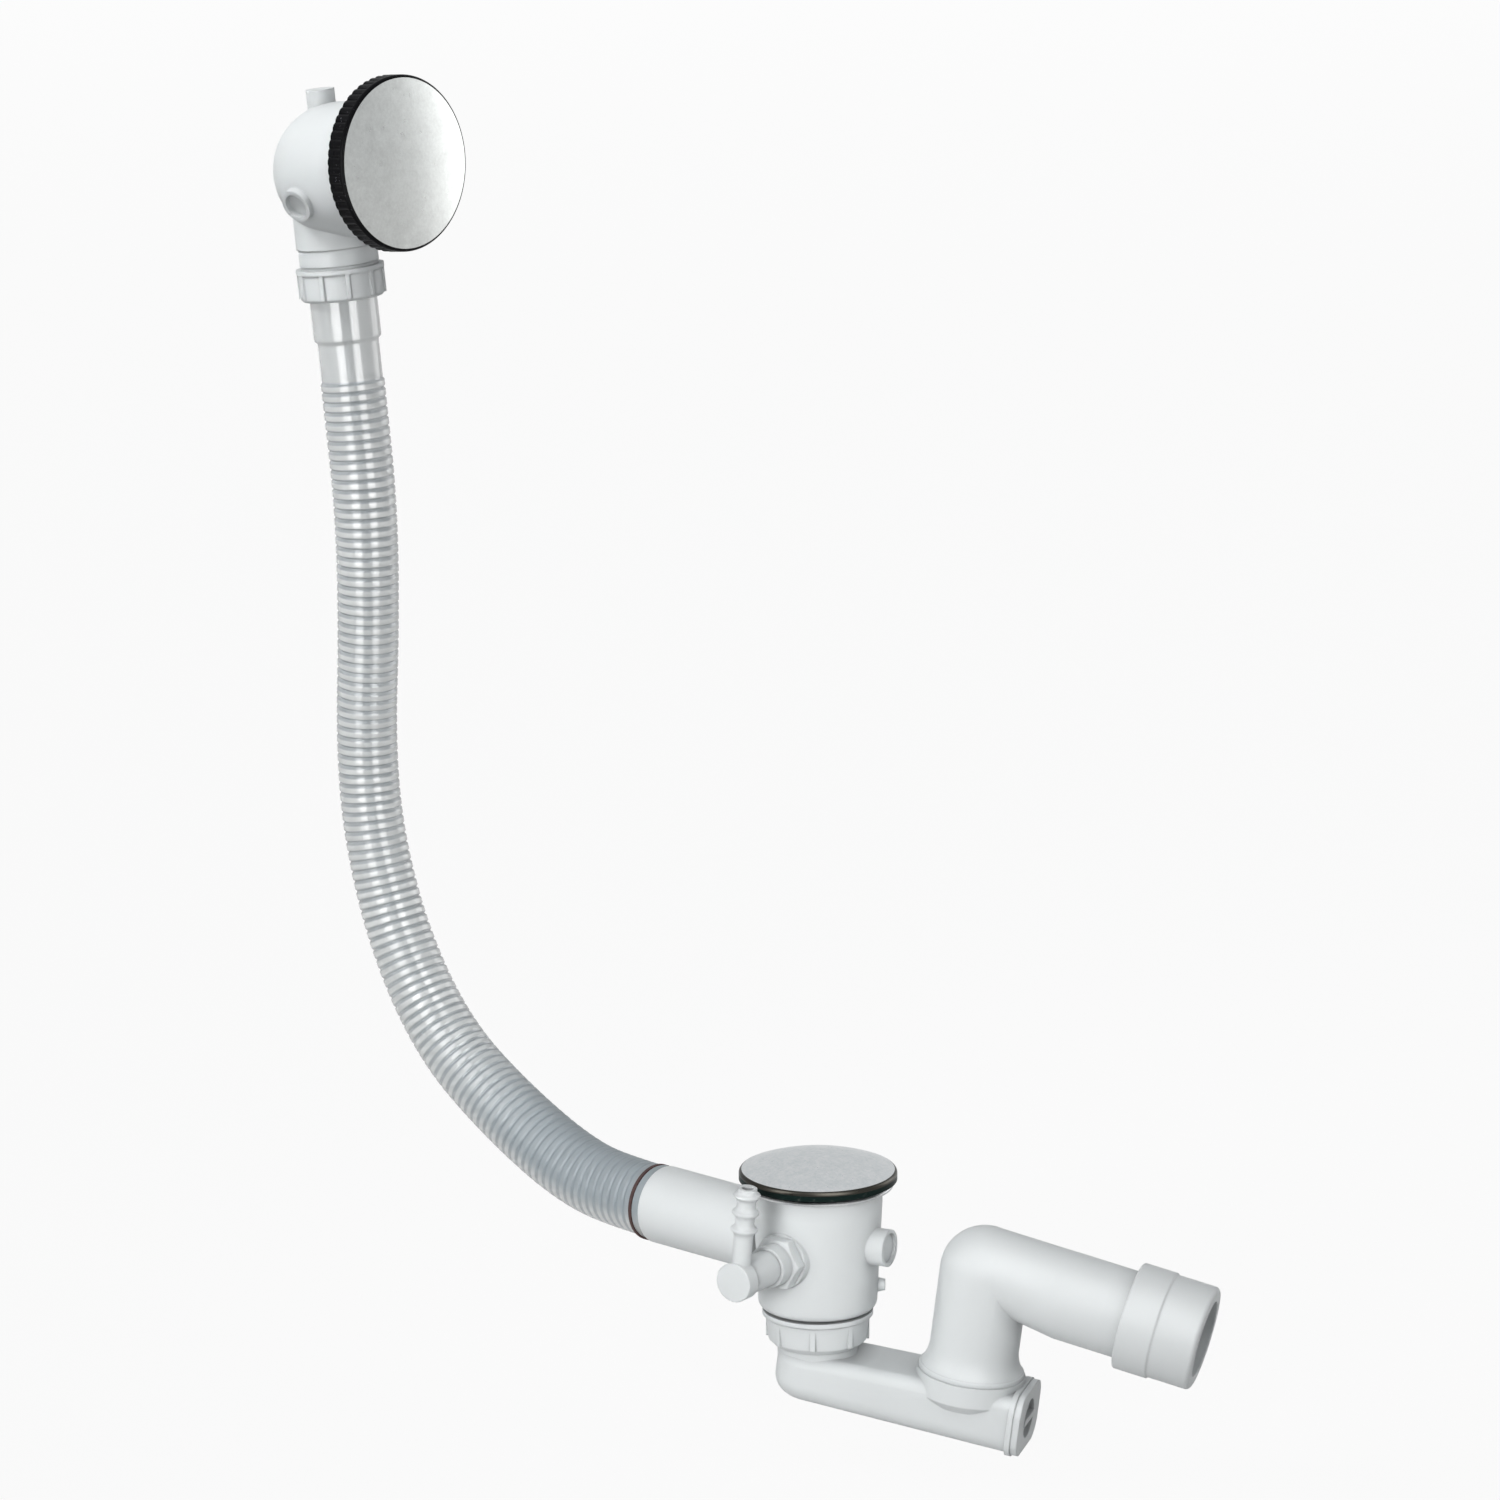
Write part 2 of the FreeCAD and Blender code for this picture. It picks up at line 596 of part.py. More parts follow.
def waste_flange():
    """Chrome flange with a cup and a slotted floor, its gasket and the hollow clamping screw."""
    cup_outer = d.throat_radius - 0.4
    cup_inner = cup_outer - d.flange_wall
    land = cup_inner + d.flange_mouth
    rim = d.seal_outer_radius + d.flange_lip
    hole = d.clamp_screw_radius + 0.2
    dish = turned(
        "flange_dish",
        [
            (rim, 0),
            (rim, flange_top * 0.55),
            (rim - 0.6, flange_top),
            (land, flange_top),
            (cup_inner, flange_top - 2.4, -0.4),
            (cup_inner, floor_top),
            (hole, floor_top),
            (hole, -d.flange_depth),
            (cup_outer, -d.flange_depth),
            (cup_outer, 0),
        ],
    )
    slot_inner = d.flange_hub_radius
    slot_width = 7.0
    tools = []
    for i in range(int(d.flange_slots.number)):
        place = spun(360.0 * i / d.flange_slots.number, vector(slot_inner, -slot_width / 2, -d.flange_depth - 1))
        tools.append(block(cup_inner - slot_inner - 0.8, slot_width, d.flange_wall + 2, FreeCAD.Vector(), place))
    keep(cut(dish, tools, "FlangeSlotted"), "waste_flange")

    keep(
        turned(
            "waste_gasket",
            [
                (d.throat_radius + 0.2, -d.gasket_thickness),
                (d.body_top_radius - 0.5, -d.gasket_thickness),
                (d.body_top_radius - 0.5, 0),
                (d.throat_radius + 0.2, 0),
            ],
        ),
        "waste_gasket",
    )
    head_top = floor_top + d.clamp_head_height
    screw_low = floor_top - d.clamp_screw_length
    screw = turned(
        "clamp_screw",
        [
            (d.stem_radius + d.fit_gap, screw_low),
            (d.clamp_screw_radius, screw_low),
            (d.clamp_screw_radius, floor_top),
            (d.clamp_head_radius, floor_top),
            (d.clamp_head_radius, head_top - 0.5),
            (d.clamp_head_radius - 0.5, head_top),
            (d.stem_radius + d.fit_gap, head_top),
        ],
    )
    slot = block(d.clamp_head_radius * 2.2, 1.8, 2.0, vector(-d.clamp_head_radius * 1.1, -0.9, head_top - 1.1))
    keep(cut(screw, [slot], "ClampScrewSlotted"), "clamp_screw")


def waste_body():
    """White moulded body with the overflow branch, the nozzle's pad, the blind port and the tail."""
    top = -d.gasket_thickness
    tail_bore = d.tail_radius - d.tail_wall
    foot_round = 4.0
    shell = turned(
        "waste_shell",
        [
            (0, top),
            (d.body_top_radius, top),
            (d.body_top_radius, top - 7.0),
            (d.body_foot_radius, body_low + foot_round),
            (d.body_foot_radius - foot_round, body_low, -QUARTER * foot_round),
            (d.tail_radius, body_low),
            (d.tail_radius, tail_low),
            (0, tail_low),
        ],
    )
    branch = cylinder(d.connector_radius, d.throat_radius, d.connector_reach, connector_frame, "Branch")
    pad = cylinder(d.bush_across_flats / 2.0 + 1.6, d.throat_radius, d.pad_face, nozzle_frame, "NozzlePad")
    port = cylinder(d.port_radius, d.throat_radius, d.port_reach, port_frame, "PortBoss")
    lug_frame = axes_frame(vector(0, 0, body_low + 10.5), heading(40.0), UP)
    lug = cone(3.8, 2.6, d.throat_radius + 0.6, d.body_foot_radius + 3.6, lug_frame, "Lug")
    outer = joined([shell, branch, pad, port, lug], "WasteOuter")

    room = turned(
        "waste_room",
        [
            (0, top + 1),
            (d.throat_radius, top + 1),
            (d.throat_radius, body_low + 9.0),
            (tail_bore, body_low + 2.0),
            (tail_bore, tail_low - 1),
            (0, tail_low - 1),
        ],
    )
    socket = cylinder(d.socket_radius, d.connector_reach - d.socket_depth, d.connector_reach + 1, connector_frame)
    bore = cylinder(d.branch_bore, d.throat_radius - 4, d.connector_reach, connector_frame)
    bush_hole = cylinder(d.bush_thread_radius, d.throat_radius - 4, d.pad_face + 1, nozzle_frame)
    recess = cylinder(d.port_radius - 1.7, d.port_reach - d.port_recess, d.port_reach + 1, port_frame)
    shell_cut = cut(outer, [room, socket, bore, bush_hole, recess], "WasteHollow")

    hub_radius = 8.0
    spider_top = -d.flange_depth
    spider_height = 4.6
    hub = cylinder(hub_radius, spider_top - spider_height, spider_top, None, "SpiderHub")
    spokes = []
    for i in range(4):
        place = spun(45.0 + 90.0 * i, vector(hub_radius - 2, -1.5, spider_top - spider_height))
        spokes.append(block(d.throat_radius - hub_radius + 2.6, 3.0, spider_height, FreeCAD.Vector(), place))
    ear_inner = d.lever_width / 2.0 + d.side_gap
    ear_length = d.throat_radius + lever_x + 3.8 + 1.4
    ears = [
        block(
            ear_length,
            d.ear_thickness,
            7.6,
            vector(-d.throat_radius - 1.4, side, lever_level - 3.8),
            None,
            "PinEar",
        )
        for side in (ear_inner, -ear_inner - d.ear_thickness)
    ]
    whole = joined([shell_cut, hub] + spokes + ears, "WasteWithRibs")
    thread_hole = cylinder(d.clamp_screw_radius + 0.02, spider_top - spider_height - 1, spider_top + 1)
    pin_frame = axes_frame(vector(lever_x, 0, lever_level), NORTH, EAST)
    pin_hole = cylinder(d.lever_pin_radius, -ear_inner - d.ear_thickness - 1, ear_inner + d.ear_thickness + 1, pin_frame)
    tail_bore_clear = cylinder(tail_bore, tail_low - 1, body_low + 2, None)
    keep(cut(whole, [thread_hole, pin_hole, tail_bore_clear], "WasteBody"), "waste_body")


def lift_gear():
    """Bell-crank lever on its pin, and the pull wire whose cross nipple sits in the lever's fork."""
    ear_inner = d.lever_width / 2.0 + d.side_gap
    pin_half = ear_inner + d.ear_thickness
    pin_frame = axes_frame(vector(lever_x, 0, lever_level), NORTH, EAST)
    keep(cylinder(d.lever_pin_radius, -pin_half, pin_half, pin_frame, "LeverPin"), "lever_pin")

    half = d.lever_width / 2.0
    hub = cylinder(3.5, -half, half, pin_frame, "LeverHub")
    lift = FreeCAD.Placement(
        vector(lever_x, 0, lever_level), FreeCAD.Rotation(NORTH, half_swing.number)
    )
    lift_arm = block(d.lever_arm, d.lever_width, 3.0, vector(0, -half, -1.5), lift, "LiftArm")
    pad_frame = lift.multiply(axes_frame(vector(d.lever_arm, 0, 0), NORTH, EAST))
    pad = cylinder(pad_radius, -half, half, pad_frame, "LiftPad")
    fork_reach = d.lever_arm + 2.0
    pull_arm = block(7.0, d.lever_width, fork_reach, vector(-3.5, -half, 0), lift, "PullArm")
    body = joined([hub, lift_arm, pad, pull_arm], "LeverSolid")
    bore = cylinder(d.lever_pin_radius + d.fit_gap, -half - 1, half + 1, pin_frame)
    slot_half = d.nipple_radius + d.side_gap
    slot_low = d.lever_arm - d.nipple_radius - 1.4
    slot = block(slot_half * 2.0, d.lever_width + 2, 8.0, vector(-slot_half, -half - 1, slot_low), lift)
    wire_way = block(9.0, d.wire_radius * 2.0 + 1.0, 8.0, vector(-4.5, -d.wire_radius - 0.5, slot_low), lift)
    keep(cut(body, [bore, slot, wire_way], "LiftLever"), "lift_lever")

    level = -d.connector_level
    wire_frame = axes_frame(vector(0, 0, level), -EAST, UP)
    stroke = 2.0 * d.lever_arm * sine(half_swing)
    wire_end = d.casing_start - stroke - 0.4
    wire = cylinder(d.wire_radius, -nipple_x, wire_end, wire_frame, "WireRod")
    nipple_frame = axes_frame(vector(nipple_x, 0, level), NORTH, EAST)
    nipple = cylinder(d.nipple_radius, -half + 0.3, half - 0.3, nipple_frame, "WireNipple")
    keep(joined([wire, nipple], "PullWire"), "pull_wire")


def holder(label, outer, centre, place):
    """Ring with three spokes that carries an end of the cable casing."""
    half = d.holder_length / 2.0
    rim = cut(
        cylinder(outer, centre - half, centre + half, place),
        [cylinder(outer - 1.5, centre - half - 1, centre + half + 1, place)],
        label + "_rim",
    )
    hub = cylinder(d.ferrule_radius + 1.4, centre - half, centre + half, place)
    spokes = []
    for i in range(3):
        turn = place.multiply(spun(120.0 * i, vector(0, -0.9, centre - half)))
        spokes.append(block(outer - 0.8, 1.8, d.holder_length, FreeCAD.Vector(), turn))
    solid = joined([rim, hub] + spokes, label + "_solid")
    hole = cylinder(d.ferrule_radius, centre - half - 1, centre + half + 1, place)
    keep(cut(solid, [hole], label + "_cut"), label)


def route_path(start_stretch, end_stretch):
    """Centre line of hose and cable: straight runs joined by tangent arcs.

    The stretches lengthen the route backwards into the neck and onwards into the branch.
    """
    start = neck_origin + overflow_down * number_of(start_stretch)
    bend = neck_origin + overflow_down * (hose_start.number + ROUTE_STRETCH)
    corners = [FreeCAD.Vector(x, 0, z) for x, z in ROUTE_CORNERS]
    level = -d.connector_level.number
    corners[-1].z = level
    end = FreeCAD.Vector(-number_of(end_stretch), 0, level)
    points = [start, bend] + corners + [end]
    edges = []
    last = points[0]
    for before, here, after in zip(points, points[1:], points[2:]):
        into = (here - before).normalize()
        out = (after - here).normalize()
        half_turn = into.getAngle(out) / 2.0
        shorter = min((here - before).Length, (after - here).Length, ROUTE_STRETCH)
        tangent = 0.45 * shorter
        arc_start = here - into * tangent
        arc_end = here + out * tangent
        radius = tangent / math.tan(half_turn)
        centre_way = (out - into).normalize()
        middle = here + centre_way * (radius / math.cos(half_turn) - radius)
        edges.append(Part.LineSegment(last, arc_start).toShape())
        edges.append(Part.Arc(arc_start, middle, arc_end).toShape())
        last = arc_end
    edges.append(Part.LineSegment(last, points[-1]).toShape())
    return Part.Wire(edges)


def station(wire, distance):
    """Placement on the route, with Z along it, at a distance from its start."""
    left = distance
    for edge in wire.Edges:
        if left <= edge.Length or edge.isSame(wire.Edges[-1]):
            parameter = edge.getParameterByLength(min(left, edge.Length))
            return axes_frame(edge.valueAt(parameter), edge.tangentAt(parameter), NORTH)
        left -= edge.Length
    return None


hose_start = d.neck_end + d.hose_washer
hose_ring_start = d.connector_reach + d.lip_length


def crest(share):
    """Radius of the ribs at a share of their stretch: thinner at the waist, wider at the end."""
    waist = d.waist_place.number
    if share < waist:
        blend = 0.5 - 0.5 * math.cos(math.pi * share / waist)
        return d.crest_top.number + (d.crest_waist.number - d.crest_top.number) * blend
    blend = 0.5 - 0.5 * math.cos(math.pi * (share - waist) / (1 - waist))
    return d.crest_waist.number + (d.crest_end.number - d.crest_waist.number) * blend


def overflow_hose():
    """Clear ribbed hose: a ruled loft through the circles of its ribs, hollowed by its bore."""
    inside_end = d.connector_reach - d.socket_depth + 1.5
    route = route_path(hose_start, inside_end)
    length = route.Length
    lip_end = length - (d.connector_reach - inside_end).number
    ribs_start = (d.cuff_length + d.second_cuff_length).number
    ribs_end = lip_end - (d.lip_length + d.hose_ring_width).number
    flange_radius = d.neck_thread_radius - 0.2
    cuff_step = 2.0
    rings = [
        (0.0, flange_radius.number),
        (d.hose_flange.number, flange_radius.number),
        (d.hose_flange.number + 0.01, d.cuff_radius.number),
        (d.cuff_length.number, d.cuff_radius.number),
        (d.cuff_length.number + cuff_step, d.second_cuff_radius.number),
        (ribs_start, d.second_cuff_radius.number),
    ]
    count = int(d.rib_count.number)
    pitch = (ribs_end - ribs_start) / count
    for i in range(count):
        share = (i + 0.5) / count
        middle = ribs_start + (i + 0.5) * pitch
        rings.append((middle, crest(share)))
        rings.append((middle + pitch / 2, crest(share) - d.rib_depth.number))
    ring_seat = d.spigot_radius.number
    rings[-1] = (ribs_end - 0.01, ring_seat)
    rings += [
        (ribs_end + d.hose_ring_width.number, ring_seat),
        (ribs_end + d.hose_ring_width.number + 0.01, d.lip_radius.number),
        (lip_end - 0.1, d.lip_radius.number),
        (lip_end, d.spigot_radius.number),
        (length, d.spigot_radius.number),
    ]
    wires = []
    for distance, radius in rings:
        wire = Part.Wire([Part.Circle(FreeCAD.Vector(), UP, radius).toShape()])
        wire.Placement = station(route, distance)
        wires.append(wire)
    outer = Part.makeLoft(wires, True, True, False)
    longer = route_path(hose_start - 2.0, inside_end - 2.0)
    bore_rings = []
    for i in range(BORE_STATIONS + 1):
        ring = Part.Wire([Part.Circle(FreeCAD.Vector(), UP, d.hose_bore.number).toShape()])
        ring.Placement = station(longer, longer.Length * i / BORE_STATIONS)
        bore_rings.append(ring)
    bore = Part.makeLoft(bore_rings, True, True, False)
    hose = doc.addObject("Part::Feature", "Hose")
    hose.Shape = outer.cut(bore)
    keep(hose, "overflow_hose")
    print("hose length", round(length, 1), "rib pitch", round(pitch, 2))

    ring = doc.addObject("Part::Feature", "HoseRing")
    band = Part.makeCylinder(d.lip_radius.number + 0.4, d.hose_ring_width.number)
    hole = Part.makeCylinder(d.spigot_radius.number, d.hose_ring_width.number)
    ring.Shape = band.cut(hole)
    ring.Placement = station(route, ribs_end)
    keep(ring, "hose_ring")


def cable():
    """Casing of the pull cable inside the hose, its two metal ends and the wire up to the drum."""
    top = holder_place - d.holder_length / 2.0
    route = route_path(top, d.casing_start)
    section = Part.Wire([Part.Circle(FreeCAD.Vector(), UP, d.casing_radius.number).toShape()])
    section.Placement = station(route, 0)
    casing = doc.addObject("Part::Feature", "Casing")
    casing.Shape = route.makePipeShell([section], True, False)
    expected = math.pi * d.casing_radius.number**2 * route.Length
    print("casing length", round(route.Length, 1), "volume ratio", round(casing.Shape.Volume / expected, 4))
    radii = [round(edge.Curve.Radius) for edge in route.Edges if isinstance(edge.Curve, Part.Circle)]
    print("route radii", radii)

    lower_start = d.casing_start - d.ferrule_length
    lower_tube = cylinder(d.ferrule_radius, lower_start, d.casing_start + 5.0, connector_frame)
    wire_bore = cylinder(d.wire_radius + d.fit_gap, lower_start - 1, d.casing_start, connector_frame)
    casing_seat = cylinder(d.casing_radius, d.casing_start, d.casing_start + 6.0, connector_frame)
    lower = cut(lower_tube, [wire_bore, casing_seat], "LowerFerrule")
    keep(lower, "lower_ferrule")
    upper_start = top - 3.0
    upper_tube = cylinder(d.ferrule_radius, upper_start, top + 7.0, neck_frame)
    upper_bore = cylinder(d.wire_radius, upper_start - 1, top, neck_frame)
    upper_seat = cylinder(d.casing_radius, top, top + 8.0, neck_frame)
    keep(cut(upper_tube, [upper_bore, upper_seat], "UpperFerrule"), "upper_ferrule")
    keep(casing, "cable_casing")
    holder("lower_holder", d.branch_bore - 0.05, d.casing_start + 1.0, connector_frame)
    holder("upper_holder", d.neck_bore - 0.05, top + 3.0, neck_frame)

    # The bare wire leaves the drum along a tangent and enters the casing on the neck's axis.
    reach = upper_start.number
    radius = d.drum_wire_radius.number
    lean = math.asin(radius / reach)
    tangent = FreeCAD.Vector(radius * math.sin(lean), radius * math.cos(lean), 0)
    goal = FreeCAD.Vector(reach, 0, 0)
    way = (goal - tangent).normalize()
    start = tangent + way * 6.0
    height = -d.neck_offset.number
    wire = doc.addObject("Part::Feature", "WireRun")
    begin = FreeCAD.Vector(start.x, start.y, height)
    wire.Shape = Part.makeCylinder(
        d.wire_radius.number - 0.05, (goal - start).Length, begin, FreeCAD.Vector(way.x, way.y, 0)
    )
    wire.Placement = overflow_frame
    keep(wire, "wire_run")


holder_place = d.neck_shoulder - 4.0


def nozzle():
    """Hexagon bush screwed into the body, and the barbed elbow that swivels in it."""
    hex_end = d.pad_face + d.bush_hex_length
    neck_end = hex_end + d.bush_neck_length
    corner_radius = d.bush_across_flats / 2.0 / math.cos(math.pi / 6)
    prism = doc.addObject("Part::Prism", "BushHexagon")
    prism.Polygon = 6
    bind(prism, Circumradius=corner_radius, Height=d.bush_hex_length)
    flat_turn = FreeCAD.Rotation(UP, 30.0)
    prism.Placement = nozzle_frame.multiply(FreeCAD.Placement(vector(0, 0, d.pad_face), flat_turn))
    chamfer_cone = cone(
        corner_radius + 8.0, corner_radius - 1.4, d.pad_face, hex_end, nozzle_frame, "HexChamfer"
    )
    hexagon = common(prism, chamfer_cone, "HexagonHead")
    thread = cylinder(d.bush_thread_radius - 0.02, d.throat_radius - 0.4, d.pad_face, nozzle_frame)
    neck = cylinder(d.bush_neck_radius, hex_end, neck_end, nozzle_frame)
    bush = joined([hexagon, thread, neck], "BushSolid")
    bore = cylinder(d.nozzle_spigot_radius + d.fit_gap, d.throat_radius - 2, neck_end + 1, nozzle_frame)
    ring_low = d.pad_face + 5.0
    groove = cylinder(d.nozzle_spigot_radius + 1.6, ring_low, ring_low + 2.4, nozzle_frame)
    keep(cut(bush, [bore, groove], "NozzleBush"), "nozzle_bush")
    keep(
        turned(
            "nozzle_seal",
            [
                (d.nozzle_spigot_radius + d.fit_gap, ring_low + 0.1),
                (d.nozzle_spigot_radius + 1.6, ring_low + 0.1),
                (d.nozzle_spigot_radius + 1.6, ring_low + 2.3),
                (d.nozzle_spigot_radius + d.fit_gap, ring_low + 2.3),
            ],
            nozzle_frame,
        ),
        "nozzle_seal",
    )

    barrel_start = neck_end + 0.4
    head_start = d.nozzle_reach - d.nozzle_head_length
    head_edge = 0.5
    rod = turned(
        "nozzle_rod",
        [
            (0, d.throat_radius + 0.2),
            (d.nozzle_spigot_radius, d.throat_radius + 0.2),
            (d.nozzle_spigot_radius, barrel_start),
            (d.nozzle_barrel_radius, barrel_start),
            (d.nozzle_barrel_radius, head_start),
            (d.nozzle_head_radius, head_start),
            (d.nozzle_head_radius, d.nozzle_reach - head_edge),
            (d.nozzle_head_radius - head_edge, d.nozzle_reach, QUARTER * head_edge),
            (0, d.nozzle_reach),
        ],
        nozzle_frame,
    )
    spigot_place = d.nozzle_reach - d.spigot_set_back
    up_frame = nozzle_frame.multiply(spun(-d.spigot_lean.number, vector(0, 0, spigot_place)))
    up_frame = up_frame.multiply(axes_frame(FreeCAD.Vector(), EAST, UP))
    tip = d.barb_stem_height
    bulge = d.barb_radius - d.barb_stem_radius
    neck = d.barb_stem_radius
    corners = [(0, 0), (neck, 0), (neck, tip - d.barb_pitch * d.barb_count - 0.4)]
    for i in reversed(range(int(d.barb_count.number))):
        low = tip - d.barb_pitch * (i + 1.0) + 0.6
        crest_height = low + d.barb_pitch * 0.5
        corners.append((neck, low))
        corners.append((d.barb_radius - 0.5, crest_height - 0.9, -0.25 * bulge))
        corners.append((d.barb_radius - 0.5, crest_height + 0.9, 0.5))
        corners.append((neck, low + d.barb_pitch - 1.0, -0.25 * bulge))
    corners += [(neck, tip), (0, tip)]
    barbs = turned("barbed_spigot", corners, up_frame)
    solid = joined([rod, barbs], "NozzleSolid")
    along = cylinder(d.barb_bore + 1.4, d.throat_radius - 1, spigot_place, nozzle_frame)
    upward = cylinder(d.barb_bore, 0 * tip, tip + 1, up_frame)
    keep(cut(solid, [along, upward], "DrainNozzle"), "drain_nozzle")


def ribbed_nut(label, section, rib, count, place):
    """Union nut: a turned section with upright ribs round it. rib: inner, outer, width, low, high."""
    inner, outer, width, low, high = rib
    body = turned(label + "_plain", section, place)
    frame = place or FreeCAD.Placement()
    ribs = []
    for i in range(count):
        turn = frame.multiply(spun(360.0 * i / count, vector(inner, -number_of(width) / 2, low)))
        ribs.append(block(outer - inner, width, high - low, FreeCAD.Vector(), turn, "Rib"))
    keep(joined([body] + ribs, label + "_solid"), label)


def trap_nut():
    """Union nut between the waste's tail and the trap, with its sealing washer."""
    top = body_low - d.nut_gap
    low = top - d.nut_height
    thread = d.tail_radius + 0.1
    lip = 2.6
    chamfer = 2.6
    waist = d.nut_top_radius - (d.nut_top_radius - d.nut_low_radius) * 0.30
    section = [
        (thread, top),
        (d.nut_top_radius, top),
        (d.nut_top_radius, top - 2.2),
        (waist - 0.7, top - 3.0),
        (d.nut_low_radius, low + chamfer),
        (d.nut_low_radius - chamfer, low),
        (d.inlet_radius + 0.15, low),
        (d.inlet_radius + 0.15, low + lip),
        (thread, low + lip),
    ]
    rib_inner = d.nut_low_radius - 1.2
    rib = (rib_inner, d.nut_low_radius + d.nut_rib_depth + 0.3, d.nut_rib_width, low + chamfer, top - 1.0)
    ribbed_nut("trap_nut", section, rib, int(d.nut_rib_count.number), spun(-6.0 + 42.0))

    washer_top = tail_low
    washer_low = tail_low - 2.2
    keep(
        turned(
            "trap_washer",
            [
                (d.tail_radius - d.tail_wall + 0.3, washer_top),
                (d.tail_radius, washer_top),
                (d.tail_radius, washer_low),
                (d.tail_radius - d.tail_wall + 0.3, washer_low),
            ],
        ),
        "trap_washer",
    )
    return washer_low, low + lip


def duct(label, grow, stretch):
    """Rounded duct of the trap in the trap's frame. grow widens it all round, stretch its open end."""
    half = d.duct_width / 2.0 + grow
    end = d.duct_length + stretch
    start = d.duct_start + grow
    rise = (d.duct_end_height - d.duct_height) / d.duct_length
    low_start = -(d.duct_height - rise * half) - grow
    low_end = -(d.duct_height + rise * end) - grow
    body = doc.addObject("PartDesign::Body", label)
    side = [(-start, grow), (end, grow), (end, low_end), (-start, low_start)]
    sketch = outline(body, "XZ_Plane", side, label + "_side")
    pad = body.newObject("PartDesign::Pad", label + "_pad")
    pad.Profile = (sketch, [""])
    pad.SideType = "Symmetric"
    bind(pad, Length=half * 2.0)
    body.Tip = pad
    left = -number_of(start)

    def upright(edge):
        xs = [vertex.X for vertex in edge.Vertexes]
        ys = [vertex.Y for vertex in edge.Vertexes]
        return max(xs) - left < 1e-4 and max(ys) - min(ys) < 1e-4

    rounded(body, start - 0.5, upright)

    def level_edge(floor):
        def test(edge):
            box = edge.BoundBox
            reach = number_of(end) - 1e-3
            if box.XMin > reach:
                return False
            if floor:
                return box.ZMax < -number_of(d.duct_height) * 0.7 and box.ZMax - box.ZMin < 9
            return box.ZMin > number_of(grow) - 1e-3

        return test

    rounded(body, d.duct_bottom_round + grow, level_edge(True))
    rounded(body, d.duct_top_round + grow, level_edge(False))
    body.Placement = trap_frame
    return body


def trap_body(washer_low, lip_top):
    """Flat trap: inlet tube, duct with a falling floor, riser socket and flanged cleaning end."""
    outer_duct = duct("TrapDuct", Size(0, "0"), Size(0, "0"))
    upright_inlet = cylinder(d.inlet_radius, -d.trap_top - 6.0, washer_low, None, "InletTube")
    inlet_flange = cylinder(d.tail_radius - 0.2, lip_top + 0.1, washer_low, None, "InletFlange")
    collar = cylinder(d.collar_radius, -d.collar_depth, d.collar_height, riser_frame, "SocketCollar")
    under_collar = cone(d.collar_radius - 4.0, d.collar_radius, -d.collar_depth - 4.0, -d.collar_depth, riser_frame)
    lip = d.end_flange_lip
    end_plate = block(
        d.end_flange,
        d.duct_width + lip * 2.0,
        d.duct_end_height + lip * 2.0,
        vector(d.duct_length - d.end_flange, -(d.duct_width / 2.0 + lip), -(d.duct_end_height + lip)),
        trap_frame,
        "EndFlange",
    )
    doc.recompute()
    plate = softened(end_plate, d.duct_bottom_round, "EndFlangeRound")
    outer = joined([outer_duct, upright_inlet, inlet_flange, collar, under_collar, plate], "TrapOuter")

    wall = -d.duct_wall
    inner_duct = duct("TrapRoom", wall, -d.end_flange * 1.6)
    inlet_bore = cylinder(d.inlet_radius + wall, -d.trap_top - 9.0, washer_low + 1, None)
    socket = cylinder(d.riser_radius + d.fit_gap, -d.duct_wall, d.collar_height + 1, riser_frame)
    riser_way = cylinder(d.riser_radius + wall, -d.duct_wall - 9.0, 0 * d.collar_height, riser_frame)
    opening = cylinder(cleaning_radius + 0.1, d.duct_length - 12.0, d.duct_length + 1, cleaning_frame)
    groove = cylinder(d.riser_radius + 1.7, -0.4 * d.collar_height, 0.3 * d.collar_height, riser_frame)
    tools = [inner_duct, inlet_bore, socket, riser_way, opening, groove]
    keep(cut(outer, tools, "TrapBody"), "trap_body")
    keep(
        turned(
            "riser_seal",
            [
                (d.riser_radius + d.fit_gap, -0.35 * d.collar_height),
                (d.riser_radius + 1.7, -0.35 * d.collar_height),
                (d.riser_radius + 1.7, 0.25 * d.collar_height),
                (d.riser_radius + d.fit_gap, 0.25 * d.collar_height),
            ],
            riser_frame,
        ),
        "riser_seal",
    )


# Middle of the cleaning opening, in the trap's frame
cleaning_drop = d.duct_end_height * 0.5
cleaning_radius = d.duct_end_height * 0.5 - d.duct_wall - 1.2
cleaning_frame = trap_frame.multiply(
    FreeCAD.Placement(vector(0, 0, -cleaning_drop), FreeCAD.Rotation(NORTH, 90))
)


def softened(item, radius, name):
    """Rounds the four long corners of an end plate that run along the trap."""
    fillet = doc.addObject("Part::Fillet", name)
    fillet.Base = item
    along = trap_frame.Rotation.multVec(EAST)
    chosen = []
    for i, edge in enumerate(item.Shape.Edges, start=1):
        way = (edge.Vertexes[-1].Point - edge.Vertexes[0].Point).normalize()
        if abs(way.dot(along)) > 0.999:
            chosen.append((i, number_of(radius), number_of(radius)))
    fillet.Edges = chosen
    return fillet


